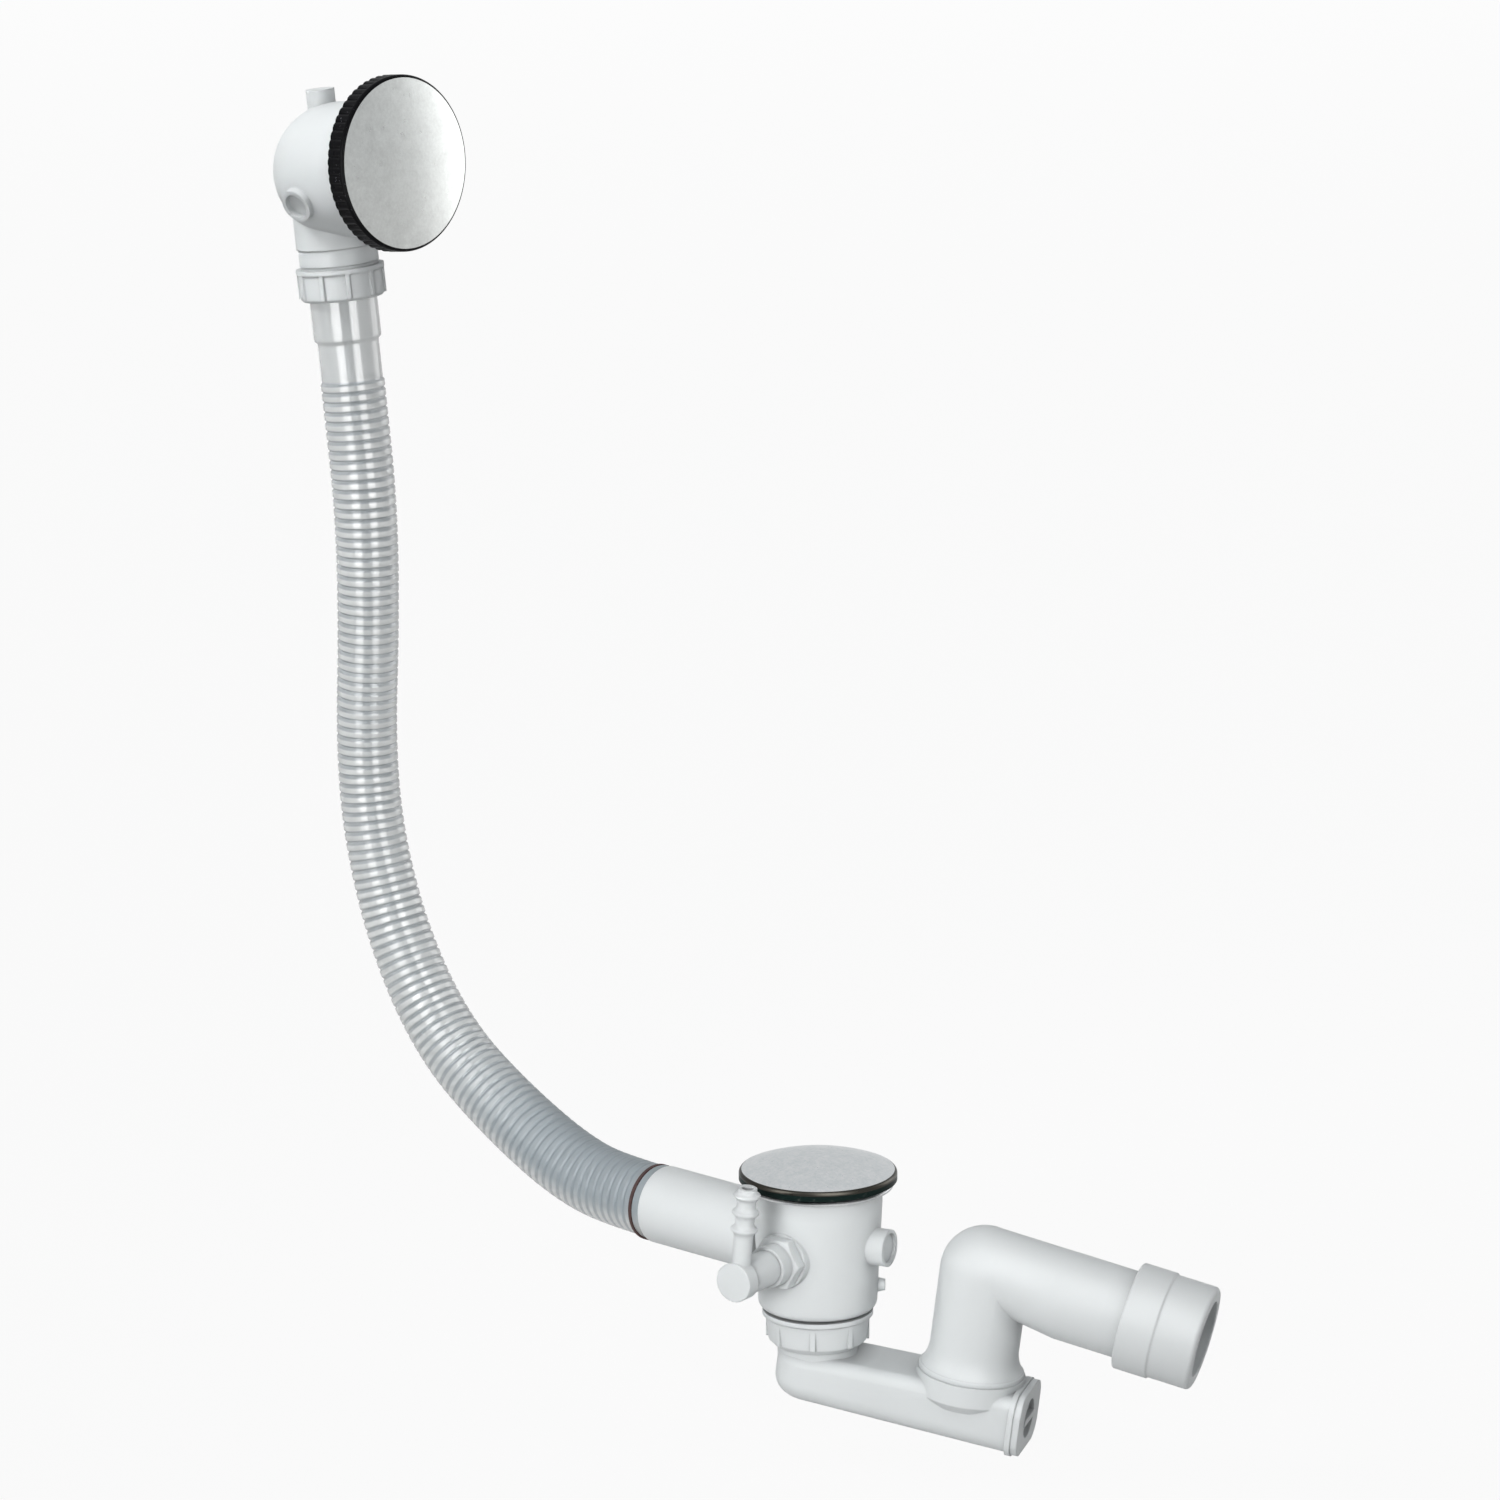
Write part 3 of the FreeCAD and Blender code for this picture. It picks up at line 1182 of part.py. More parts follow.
def cleaning_cover():
    """Cover of the cleaning end, with a spigot, a rubber ring and a grip sunk in its face."""
    lip = d.end_flange_lip
    plate = block(
        d.cover_thickness,
        d.duct_width + lip,
        d.duct_end_height + lip,
        vector(d.duct_length, -(d.duct_width / 2.0 + lip / 2.0), -(d.duct_end_height + lip / 2.0)),
        trap_frame,
        "CoverPlate",
    )
    doc.recompute()
    plate = softened(plate, d.duct_bottom_round, "CoverRound")
    spigot = cylinder(cleaning_radius, d.duct_length - 7.0, d.duct_length, cleaning_frame)
    solid = joined([plate, spigot], "CoverSolid")
    outside = d.duct_length + d.cover_thickness
    well = cylinder(cleaning_radius - 1.0, outside - 2.2, outside + 1, cleaning_frame)
    hollow = cylinder(cleaning_radius - 2.4, d.duct_length - 8.0, d.duct_length - 0.4, cleaning_frame)
    groove_cut = cut(
        cylinder(cleaning_radius + 1, d.duct_length - 5.6, d.duct_length - 3.6, cleaning_frame),
        [cylinder(cleaning_radius - 1.4, d.duct_length - 6.6, d.duct_length - 2.6, cleaning_frame)],
        "CoverGroove",
    )
    hollowed = cut(solid, [well, hollow, groove_cut], "CoverHollow")
    grip = block(
        3.0,
        cleaning_radius * 2.0 - 1.4,
        3.0,
        vector(d.duct_length + 0.6, -cleaning_radius + 0.7, -cleaning_drop - 1.5),
        trap_frame,
        "CoverGrip",
    )
    keep(joined([hollowed, grip], "CleaningCover"), "cleaning_cover")
    keep(
        turned(
            "cleaning_seal",
            [
                (cleaning_radius - 1.4, d.duct_length - 5.5),
                (cleaning_radius + 0.1, d.duct_length - 5.5),
                (cleaning_radius + 0.1, d.duct_length - 3.7),
                (cleaning_radius - 1.4, d.duct_length - 3.7),
            ],
            cleaning_frame,
        ),
        "cleaning_seal",
    )


def outlet():
    """Elbow that turns in the riser socket, and the stepped sleeve on its arm."""
    rim = d.collar_height
    riser = turned(
        "elbow_riser",
        [
            (0, -d.duct_wall + 0.5),
            (d.riser_radius, -d.duct_wall + 0.5),
            (d.riser_radius, rim),
            (d.foot_ring_radius, rim),
            (d.foot_ring_radius, rim + 1.6),
            (d.foot_ring_radius - 0.8, rim + 2.4, QUARTER * 0.8),
            (d.riser_radius, rim + 13.5, -0.9),
            (d.riser_radius, d.riser_height),
            (0, d.riser_height),
        ],
        riser_frame,
    )
    corner = ball(d.riser_radius, FreeCAD.Vector(), corner_frame, "ElbowCorner")
    arm = turned(
        "elbow_arm",
        [
            (0, d.arm_neck_end),
            (d.arm_neck_radius - d.arm_neck_rise, d.arm_neck_end),
            (d.arm_radius, d.arm_wide_start),
            (d.arm_radius, d.arm_length),
            (0, d.arm_length),
        ],
        arm_frame,
    )
    neck_shift = FreeCAD.Placement(vector(-d.arm_neck_rise, 0, 0), FreeCAD.Rotation())
    raised_frame = arm_frame.multiply(neck_shift)
    neck = cylinder(d.arm_neck_radius, 0 * rim, d.arm_wide_start, raised_frame, "ElbowNeck")
    outer = joined([riser, corner, arm, neck], "ElbowOuter")
    inner = d.riser_radius - d.riser_wall
    riser_bore = cylinder(inner, -d.duct_wall - 1, d.riser_height, riser_frame)
    corner_room = ball(inner, FreeCAD.Vector(), corner_frame)
    neck_bore = d.arm_neck_radius - d.riser_wall
    neck_room = cylinder(neck_bore, 0 * inner, d.arm_wide_start, raised_frame)
    arm_bore = cylinder(neck_bore + 0.4, d.arm_neck_end + 14.0, d.arm_length + 1, arm_frame)
    keep(cut(outer, [riser_bore, corner_room, neck_room, arm_bore], "OutletElbow"), "outlet_elbow")

    slip = d.arm_radius + 0.1
    lead = 2.2
    first_edge = d.arm_length - d.sleeve_overlap
    step = first_edge + d.sleeve_step_length
    open_end = first_edge + d.sleeve_length
    keep(
        turned(
            "outlet_sleeve",
            [
                (slip, first_edge),
                (d.sleeve_big_radius - 1.2, first_edge),
                (d.sleeve_big_radius, first_edge + 1.2, QUARTER * 1.2),
                (d.sleeve_big_radius, step - 0.7),
                (d.sleeve_radius, step),
                (d.sleeve_radius, open_end - lead),
                (d.sleeve_radius - lead, open_end, QUARTER * lead),
                (d.arm_radius - d.riser_wall, open_end),
                (d.arm_radius - d.riser_wall, d.arm_length + 0.2),
                (slip, d.arm_length + 0.2),
                (slip, first_edge + 8.0),
                (slip + 2.2, first_edge + 8.0),
                (slip + 2.2, first_edge + 4.0),
                (slip, first_edge + 4.0),
            ],
            arm_frame,
        ),
        "outlet_sleeve",
    )
    keep(
        turned(
            "sleeve_seal",
            [
                (d.arm_radius, first_edge + 4.1),
                (slip + 2.1, first_edge + 4.1),
                (slip + 2.1, first_edge + 7.9),
                (d.arm_radius, first_edge + 7.9),
            ],
            arm_frame,
        ),
        "sleeve_seal",
    )


def overflow_body():
    """White overflow housing: a deep domed drum with neck, blind side port and top boss."""
    rim_front = -d.overflow_gasket
    rim_back = rim_front - d.rim_thickness
    dome_centre = -d.drum_straight
    drop = FreeCAD.Placement(vector(d.drum_drop, 0, 0), FreeCAD.Rotation())
    drum_frame = overflow_frame.multiply(drop)
    drum = cylinder(d.drum_radius, dome_centre, rim_front, drum_frame, "Drum")
    dome = ball(d.drum_radius, vector(0, 0, dome_centre), drum_frame, "DrumDome")
    dome.Angle2 = 0
    rim = cylinder(d.rim_radius, rim_back, rim_front, overflow_frame, "FrontRim")
    neck = cylinder(d.neck_radius, d.neck_radius, d.neck_shoulder, neck_frame, "Neck")
    ledge = cylinder(d.neck_radius + 0.7, d.neck_radius, d.neck_shoulder - 8.0, neck_frame, "NeckLedge")
    thread = cylinder(d.neck_thread_radius, d.neck_shoulder, d.neck_end, neck_frame, "NeckThread")
    boss = cylinder(d.top_boss_radius, -d.top_boss_reach, -d.drum_radius / 2.0, neck_frame, "TopBoss")
    below = math.radians(d.side_port_tilt.number)
    port_way = FreeCAD.Vector(math.sin(below), -math.cos(below), 0)
    port_place = drum_frame.multiply(axes_frame(vector(0, 0, -d.side_port_depth), port_way, UP))
    port = cylinder(d.side_port_radius, d.drum_radius / 2.0, d.drum_radius + 2.6, port_place, "SidePort")
    outer = joined([drum, dome, rim, neck, ledge, thread, boss, port], "OverflowOuter")

    inner = d.drum_radius - d.overflow_wall
    room = cylinder(inner, dome_centre, rim_front + 1, drum_frame)
    dome_room = ball(inner, vector(0, 0, dome_centre), drum_frame)
    bore = cylinder(d.neck_bore, 0 * inner, d.neck_end + 1, neck_frame)
    recess = cylinder(d.side_port_recess, d.drum_radius - 0.4, d.drum_radius + 4, port_place)
    hollow = cut(outer, [room, dome_room, bore, recess], "OverflowHollow")

    posts = []
    holes = []
    for side in (1, -1):
        spot = overflow_frame.multiply(FreeCAD.Placement(vector(0, side * screw_circle.number, 0), FreeCAD.Rotation()))
        posts.append(cylinder(3.6, dome_centre + 5.6, rim_front, spot, "ScrewPost"))
        holes.append(cylinder(1.6 + 0 * inner, dome_centre + 13.6, rim_front + 1, spot, "ScrewHole"))
    back = dome_centre - inner
    bearing = cylinder(5.0 + 0 * inner, back - 0.6, drum_low - 0.4, overflow_frame, "RearBearing")
    solid = joined([hollow] + posts + [bearing], "OverflowSolid")
    tail_hole = cylinder(tail_radius + d.fit_gap, back + 1.6, drum_low + 1, overflow_frame)
    keep(cut(solid, holes + [tail_hole], "OverflowBody"), "overflow_body")

    keep(
        turned(
            "overflow_gasket",
            [
                (d.drum_radius - d.overflow_wall + 0.4, rim_front),
                (d.rim_radius - 0.4, rim_front),
                (d.rim_radius - 0.4, 0),
                (d.drum_radius - d.overflow_wall + 0.4, 0),
            ],
            overflow_frame,
        ),
        "overflow_gasket",
    )


screw_circle = d.drum_radius - d.overflow_wall - 3.1
drum_low = -d.neck_offset - 3.4
drum_high = -d.neck_offset + 3.4
tail_radius = 2.5


def overflow_front():
    """Trim plate with its screws, turn knob, spindle with cable drum, and the wire on the drum."""
    hub_radius = d.spindle_radius + 3.2
    plate = turned(
        "trim_plate",
        [
            (d.spindle_radius + d.fit_gap, -5.0),
            (hub_radius, -5.0),
            (hub_radius, 0),
            (d.plate_radius, 0),
            (d.plate_radius, d.plate_thickness * 0.5),
            (d.plate_radius - 0.8, d.plate_thickness),
            (d.spindle_radius + d.fit_gap, d.plate_thickness),
        ],
        overflow_frame,
    )
    slots = []
    slot_width = 6.5
    inner = hub_radius + 2.5
    outer = screw_circle - 4.6
    for i in range(int(d.plate_slots.number)):
        angle = 360.0 * (i + 0.5) / d.plate_slots.number
        turn = overflow_frame.multiply(spun(angle, vector(inner, -slot_width / 2, -1)))
        slots.append(block(outer - inner, slot_width, d.plate_thickness + 2, FreeCAD.Vector(), turn))
    screws = []
    holes = []
    for side in (1, -1):
        spot = FreeCAD.Placement(vector(0, side * screw_circle.number, 0), FreeCAD.Rotation())
        place = overflow_frame.multiply(spot)
        holes.append(cylinder(2.0 + 0 * inner, -1.0, d.plate_thickness + 1, place))
        shank = cylinder(1.58 + 0 * inner, -14.0, 0.4, place)
        head = cone(1.6 + 0 * inner, 3.6 + 0 * inner, 0.2, d.plate_thickness, place)
        holes.append(cone(1.65 + 0 * inner, 3.65 + 0 * inner, 0.2, d.plate_thickness + 0.001, place))
        screws.append(joined([shank, head], "TrimScrew"))
    keep(cut(plate, slots + holes, "TrimPlate"), "overflow_plate")
    pair = doc.addObject("Part::Compound", "TrimScrewPair")
    pair.Links = screws
    keep(pair, "overflow_screws")

    back = d.knob_gap
    edge = back + d.knob_depth
    top = edge + d.knob_dome
    wall = d.knob_wall
    boss = d.spindle_radius + 3.0
    knob = turned(
        "knob_plain",
        [
            (d.spindle_radius, back + 1.0),
            (boss, back + 1.0),
            (boss, top - wall * 1.2),
            (d.knob_radius - wall, edge - wall),
            (d.knob_radius - wall, back),
            (d.knob_radius, back),
        ]
        + domed_edge(d.knob_radius, edge, d.knob_edge_round, d.knob_dome)
        + [(0, top - wall), (d.spindle_radius, top - wall)],
        overflow_frame,
    )
    count = int(d.knurl_count.number)
    grooves = []
    for i in range(count):
        place = overflow_frame.multiply(spun(360.0 * i / count, vector(d.knob_radius + 0.35, 0, 0)))
        grooves.append(cylinder(d.knurl_radius, back - 1, edge - d.knob_edge_round - 0.6, place, "Knurl"))
    keep(cut(knob, grooves, "TurnKnob"), "overflow_knob")

    groove_floor = d.drum_wire_radius - d.wire_radius
    cheek = 1.7
    keep(
        turned(
            "cable_drum",
            [
                (0, drum_low - 3.0),
                (tail_radius, drum_low - 3.0),
                (tail_radius, drum_low),
                (d.drum_flange_radius, drum_low),
                (d.drum_flange_radius, drum_low + cheek),
                (groove_floor, drum_low + cheek),
                (groove_floor, drum_high - cheek),
                (d.drum_flange_radius, drum_high - cheek),
                (d.drum_flange_radius, drum_high),
                (d.spindle_radius, drum_high),
                (d.spindle_radius, top - wall),
                (0, top - wall),
            ],
            overflow_frame,
        ),
        "cable_drum",
    )
    ring = doc.addObject("Part::Torus", "WireTurn")
    bind(ring, Radius1=d.drum_wire_radius, Radius2=d.wire_radius - 0.02)
    centre = FreeCAD.Placement(vector(0, 0, -d.neck_offset), FreeCAD.Rotation())
    ring.Placement = overflow_frame.multiply(centre)
    keep(ring, "wire_turn")


def overflow_nut():
    """Union nut that clamps the hose's flange to the neck, with its washer."""
    start = d.overflow_nut_start
    end = d.overflow_nut_end
    thread = d.neck_thread_radius + 0.1
    lip = 2.1
    radius = d.overflow_nut_radius
    section = [
        (thread, start),
        (radius, start),
        (radius, start + 2.0),
        (radius - 0.9, start + 2.8),
        (radius - 0.9, end - 1.2),
        (radius - 2.1, end),
        (d.cuff_radius + 0.2, end),
        (d.cuff_radius + 0.2, end - lip),
        (thread, end - lip),
    ]
    rib = (radius - 2.0, radius - 0.1, 2.2, start + 1.0, end - 1.2)
    ribbed_nut("overflow_nut", section, rib, int(d.overflow_nut_ribs.number), neck_frame)
    keep(
        turned(
            "overflow_washer",
            [
                (d.neck_bore + 0.2, d.neck_end),
                (d.neck_thread_radius, d.neck_end),
                (d.neck_thread_radius, hose_start),
                (d.neck_bore + 0.2, hose_start),
            ],
            neck_frame,
        ),
        "overflow_washer",
    )


plug()
waste_flange()
waste_body()
lift_gear()
nozzle()
washer_low, lip_top = trap_nut()
trap_body(washer_low, lip_top)
cleaning_cover()
outlet()
overflow_body()
overflow_front()
overflow_nut()
overflow_hose()
cable()
doc.recompute()

faults = [item.Name for item in doc.Objects if "Invalid" in item.State or "Error" in item.State]
for label, item in nodes.items():
    shape = item.Shape
    if shape.isNull() or not shape.isValid() or not shape.Solids:
        faults.append(label)
if faults:
    raise RuntimeError(f"failed objects: {faults}")

os.makedirs("parts", exist_ok=True)
for label, item in nodes.items():
    item.Shape.exportStep(f"parts/{label}.step")
    print(label, len(item.Shape.Solids), round(item.Shape.Volume, 1))
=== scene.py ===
# %% [markdown]
# # A bath waste with its overflow
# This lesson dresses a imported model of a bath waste: the white mouldings, the chrome cap and knob,
# the clear ribbed hose between them and the flat trap below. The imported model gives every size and
# place, in metres. Here the looks are made: smooth shells, finer ribs, materials, light and camera.

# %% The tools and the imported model
import json
import math
from bisect import bisect_left

import bmesh
import bpy
from mathutils import Matrix, Vector


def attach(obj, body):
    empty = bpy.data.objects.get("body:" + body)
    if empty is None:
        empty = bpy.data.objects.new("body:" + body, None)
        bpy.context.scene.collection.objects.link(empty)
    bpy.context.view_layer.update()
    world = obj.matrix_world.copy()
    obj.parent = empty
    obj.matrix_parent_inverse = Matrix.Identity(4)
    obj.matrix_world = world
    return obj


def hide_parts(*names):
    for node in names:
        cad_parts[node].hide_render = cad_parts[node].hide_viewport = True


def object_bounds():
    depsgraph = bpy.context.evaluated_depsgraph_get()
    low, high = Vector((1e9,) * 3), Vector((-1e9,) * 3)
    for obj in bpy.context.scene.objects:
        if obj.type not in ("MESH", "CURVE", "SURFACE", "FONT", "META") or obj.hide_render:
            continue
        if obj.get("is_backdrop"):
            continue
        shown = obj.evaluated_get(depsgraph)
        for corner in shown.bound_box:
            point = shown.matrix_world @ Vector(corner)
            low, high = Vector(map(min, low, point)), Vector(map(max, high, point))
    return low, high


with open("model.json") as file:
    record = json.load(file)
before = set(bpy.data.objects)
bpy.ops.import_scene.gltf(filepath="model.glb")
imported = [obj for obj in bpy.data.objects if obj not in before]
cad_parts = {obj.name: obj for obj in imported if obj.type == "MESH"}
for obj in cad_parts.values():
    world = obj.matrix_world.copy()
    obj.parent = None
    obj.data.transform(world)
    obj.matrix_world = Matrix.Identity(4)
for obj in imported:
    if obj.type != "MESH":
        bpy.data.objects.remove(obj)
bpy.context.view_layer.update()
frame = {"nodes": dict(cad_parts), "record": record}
scene = bpy.context.scene
body_of = {}
for body, names in frame["record"]["behaviour"]["bodies"].items():
    for node in names:
        body_of[node] = body
MM = 0.001

# %% [markdown]
# ## The camera
# The photograph was taken from far away with a long lens, so upright lines stay almost upright and
# the near end is hardly larger than the far one. An orthographic camera would come close too, but
# a real lens keeps the last hint of depth. It stands 42 degrees round from the front and looks 15
# degrees down. Its place was found by setting the ellipses of cap, nut and knob against the photo.

# %% The camera
AZIMUTH = math.radians(42.0)
LOOK_DOWN = math.radians(15.0)
EYE = Vector((2.5997, -2.9337, 1.2554))
SENSOR_WIDTH = 36.0
LENS = 216.0
CLIP_END = 60.0

camera_data = bpy.data.cameras.new("Camera")
camera_data.sensor_width = SENSOR_WIDTH
camera_data.lens = LENS
camera_data.clip_end = CLIP_END
camera = bpy.data.objects.new("Camera", camera_data)
scene.collection.objects.link(camera)
camera.location = EYE
camera.rotation_euler = (math.pi / 2 - LOOK_DOWN, 0.0, AZIMUTH)
scene.camera = camera
scene.view_settings.view_transform = "Standard"
print("camera", round(EYE.length, 2), "m from the waste")

# %% [markdown]
# ## Shader maths as expressions
# A material is a small program of nodes. It could be wired by hand, but a formula of five terms is
# then ten nodes and twenty links to read. Wrapping each output in a class with the usual operators
# lets a formula be written as a formula, and the Math nodes add themselves. Any other kind of node
# comes from one method, which takes its type, its settings and what goes into its sockets. The
# same class serves the materials and the world.

# %% Outputs as values
class Socket:
    """The number at a node's output. Each sum or product with it adds a Math node."""

    def __init__(self, nodes, output):
        self.nodes = nodes
        self.output = output

    def maths(self, operation, one, two):
        return self.nodes.node("ShaderNodeMath", {"operation": operation}, {0: one, 1: two})

    def __add__(self, other):
        return self.maths("ADD", self, other)

    def __radd__(self, other):
        return self.maths("ADD", other, self)

    def __sub__(self, other):
        return self.maths("SUBTRACT", self, other)

    def __rsub__(self, other):
        return self.maths("SUBTRACT", other, self)

    def __mul__(self, other):
        return self.maths("MULTIPLY", self, other)

    def __rmul__(self, other):
        return self.maths("MULTIPLY", other, self)

    def over(self, limit):
        return self.maths("GREATER_THAN", self, limit)

    def power(self, exponent):
        return self.maths("POWER", self, exponent)

    def either(self, other):
        """The larger of two numbers, which is 1 where one of two masks is."""
        return self.maths("MAXIMUM", self, other)


# %% A tree of nodes
class Nodes:
    """A node tree that grows by one node for each call."""

    def __init__(self, tree):
        self.tree = tree

    def node(self, kind, settings=None, inputs=None, output=0):
        """Add a node, set it up and give one of its outputs."""
        made = self.tree.nodes.new(kind)
        for name, value in (settings or {}).items():
            setattr(made, name, value)
        for socket, value in (inputs or {}).items():
            self.feed(made.inputs[socket], value)
        return Socket(self, made.outputs[output])

    def feed(self, socket, value):
        """Link an output to a socket, or set a plain number or a colour of three numbers."""
        if isinstance(value, Socket):
            self.tree.links.new(value.output, socket)
        elif socket.type == "RGBA":
            socket.default_value = (*value, 1.0)
        else:
            socket.default_value = value

    def ray(self, kind):
        """1 for a ray of this kind, such as Is Camera Ray, and 0 for any other."""
        return self.node("ShaderNodeLightPath", output=kind)


# %% A finish round one shader
class Finish(Nodes):
    """A material that is built up round one Principled shader."""

    def __init__(self, name, **fixed):
        self.material = bpy.data.materials.new(name)
        self.material.use_nodes = True
        super().__init__(self.material.node_tree)
        self.shader = self.tree.nodes["Principled BSDF"]
        for socket, value in fixed.items():
            self.drive(socket.replace("_", " "), value)

    def drive(self, socket, value):
        """Feed one of the shader's sockets."""
        self.feed(self.shader.inputs[socket], value)

    def place(self):
        return self.node("ShaderNodeTexCoord", output="Object")

    def attribute(self, name):
        return self.node("ShaderNodeAttribute", {"attribute_name": name}, {}, "Fac")

    def noise(self, scale, detail=2.0, roughness=0.5):
        """Cloudy noise from 0 to 1, with about as many spots to the metre as the scale says."""
        sockets = {"Vector": self.place(), "Scale": scale, "Detail": detail, "Roughness": roughness}
        return self.node("ShaderNodeTexNoise", {}, sockets, "Fac")

    def blend(self, amount, first, second):
        """Mix of two colours, each given as three numbers or as a socket."""
        sockets = {"Factor": amount, 6: first, 7: second}
        return self.node("ShaderNodeMix", {"data_type": "RGBA"}, sockets, 2)

    def openness(self, reach):
        """How open a point lies: 1 on a free face, towards 0 deep in a crevice of that reach."""
        return self.node("ShaderNodeAmbientOcclusion", {"samples": 6}, {"Distance": reach}, "AO")

    def soft_edges(self, radius):
        """Normal that rounds edges and inner corners by a radius."""
        return self.node("ShaderNodeBevel", {"samples": 4}, {"Radius": radius})

    def relief(self, height, distance, strength, normal=None):
        """Bump from a height, on top of another normal where one is given."""
        sockets = {"Height": height, "Distance": distance, "Strength": strength}
        if normal is not None:
            sockets["Normal"] = normal
        self.drive("Normal", self.node("ShaderNodeBump", {}, sockets))


# %% [markdown]
# ## White polypropylene
# The housings, the trap and the pipes are moulded in white plastic. Mouldings have a soft sheen,
# faint flow marks and small rounds on every edge. A Bevel modifier could make the rounds, but it
# breaks on the slim triangles of a CAD mesh. The Bevel node bends the normal near an edge instead,
# inside corners too, and the shells keep their exact size. An Ambient Occlusion node tints the
# crevices between the parts greyer, as painted shade.

# %% White plastic
CREVICE_REACH = 10.0 * MM
EDGE_ROUND = 1.1 * MM


def white_plastic():
    finish = Finish("WhitePlastic", Specular_IOR_Level=0.3)
    clean = finish.blend(finish.noise(18.0, 3.0), (0.785, 0.815, 0.82), (0.83, 0.857, 0.862))
    open_faces = finish.openness(CREVICE_REACH).power(0.8)
    painted_crevice_shade = (0.30, 0.305, 0.31)
    # painted shade: crevices between the parts turn grey where Ambient Occlusion finds them closed in
    finish.drive("Base Color", finish.blend(open_faces, painted_crevice_shade, clean))
    finish.drive("Roughness", finish.noise(90.0) * 0.12 + 0.36)
    finish.relief(finish.noise(650.0), 0.04 * MM, 0.25, finish.soft_edges(EDGE_ROUND))
    return finish.material


WHITE = white_plastic()
print("white plastic:", len(WHITE.node_tree.nodes), "nodes")

# %% [markdown]
# ## Satin chrome
# The cap and the knob are plated. From near by, the plating shows a fine grain that spreads the
# reflection, brighter and duller from spot to spot. Their side walls look almost black, because a
# mirror that stands upright shows the dark room; here that is painted reflection, a near-black
# colour that is not metal, and the cap's rounded edge is painted as dark metal. Separate pieces
# for face and wall would leave a seam, so one spun piece carries an attribute, zone, that says
# where a point lies. The material reads it and changes over at the edge.

# %% Satin chrome and its dark side wall
WALL, EDGE, FACE = 0.0, 0.5, 1.0
SPECK_LIMIT = 0.66


def satin_chrome(name, face_low, face_high, edge, wall, speck):
    """Chrome with a bright face, a duller edge and a dark side wall with specks; wall and edge are
    painted reflection.
    """
    finish = Finish(name, Specular_IOR_Level=0.05)
    zone = finish.attribute("zone")
    plated = zone.over((WALL + EDGE) / 2)
    on_face = zone.over((EDGE + FACE) / 2)
    grain = finish.noise(620.0, 4.0, 0.75)
    mottle = finish.noise(170.0, 3.0, 0.6) * 0.9 + grain * 1.7 - 0.8
    specks = finish.noise(430.0, 4.0, 0.8).over(SPECK_LIMIT)
    # painted reflection of a dark room: a near-black wall that is not metal, and a darker edge
    side = finish.blend(plated, finish.blend(specks, wall, speck), edge)
    finish.drive("Base Color", finish.blend(on_face, side, finish.blend(mottle, face_low, face_high)))
    finish.drive("Metallic", plated)
    finish.drive("Roughness", finish.noise(260.0) * 0.12 + 0.24)
    finish.relief(finish.noise(620.0, 1.0), 0.02 * MM, 0.2)
    return finish.material


# the cap's dark brown edge and near-black wall are painted reflection of a dark room
CAP_CHROME = satin_chrome(
    "CapChrome",
    face_low=(0.74, 0.79, 0.80),
    face_high=(1.0, 1.0, 1.0),
    edge=(0.05, 0.047, 0.04),
    wall=(0.008, 0.018, 0.016),
    speck=(0.10, 0.11, 0.10),
)
# the knob's near-black wall is painted reflection of a dark room
KNOB_CHROME = satin_chrome(
    "KnobChrome",
    face_low=(0.53, 0.54, 0.53),
    face_high=(0.67, 0.69, 0.675),
    edge=(0.30, 0.30, 0.29),
    wall=(0.006, 0.006, 0.007),
    speck=(0.15, 0.15, 0.17),
)
print("chrome:", len(CAP_CHROME.node_tree.nodes), "nodes")

# %% [markdown]
# ## Steel, rubber and the small plastics
# The hidden pieces get plain but true finishes: brushed steel for the stem, screws, wire and
# flange, black rubber with a dull grain for the seals, a dark brown ring at the hose's end, grey
# acetal for the lever and a pale sleeve on the cable. Steel is brushed by stretching the noise
# along one axis, which costs nothing, where a picture of brushed steel would need its own unwrap.

# %% Steel, rubber and small plastics
BRUSH_STROKES = (900.0, 900.0, 60.0)


def brushed_steel():
    finish = Finish("BrushedSteel", Metallic=1.0)
    stretched = {"Vector": finish.place(), "Scale": BRUSH_STROKES}
    strokes = {"Vector": finish.node("ShaderNodeMapping", {}, stretched), "Scale": 1.0, "Detail": 3.0}
    grain = finish.node("ShaderNodeTexNoise", {}, strokes, "Fac")
    finish.drive("Base Color", finish.blend(grain, (0.46, 0.47, 0.48), (0.68, 0.69, 0.70)))
    finish.drive("Roughness", grain * 0.2 + 0.25)
    finish.relief(grain, 0.02 * MM, 0.3)
    return finish.material


def rubber(name, dark, light):
    finish = Finish(name)
    grain = finish.noise(500.0, 4.0)
    finish.drive("Base Color", finish.blend(grain, dark, light))
    finish.drive("Roughness", grain * 0.2 + 0.6)
    finish.relief(grain, 0.1 * MM, 0.3)
    return finish.material


def dull_plastic(name, dark, light):
    finish = Finish(name)
    cloud = finish.noise(60.0, 3.0)
    finish.drive("Base Color", finish.blend(cloud, dark, light))
    finish.drive("Roughness", cloud * 0.15 + 0.42)
    return finish.material


STEEL = brushed_steel()
SEAL = rubber("SealRubber", (0.02, 0.02, 0.022), (0.06, 0.06, 0.065))
BROWN = rubber("BrownRubber", (0.045, 0.02, 0.018), (0.09, 0.042, 0.036))
ACETAL = dull_plastic("GreyAcetal", (0.42, 0.43, 0.44), (0.55, 0.56, 0.57))
CASING = dull_plastic("CableCasing", (0.74, 0.755, 0.76), (0.82, 0.835, 0.84))
print("small finishes:", [finish.name for finish in (STEEL, SEAL, BROWN, ACETAL, CASING)])
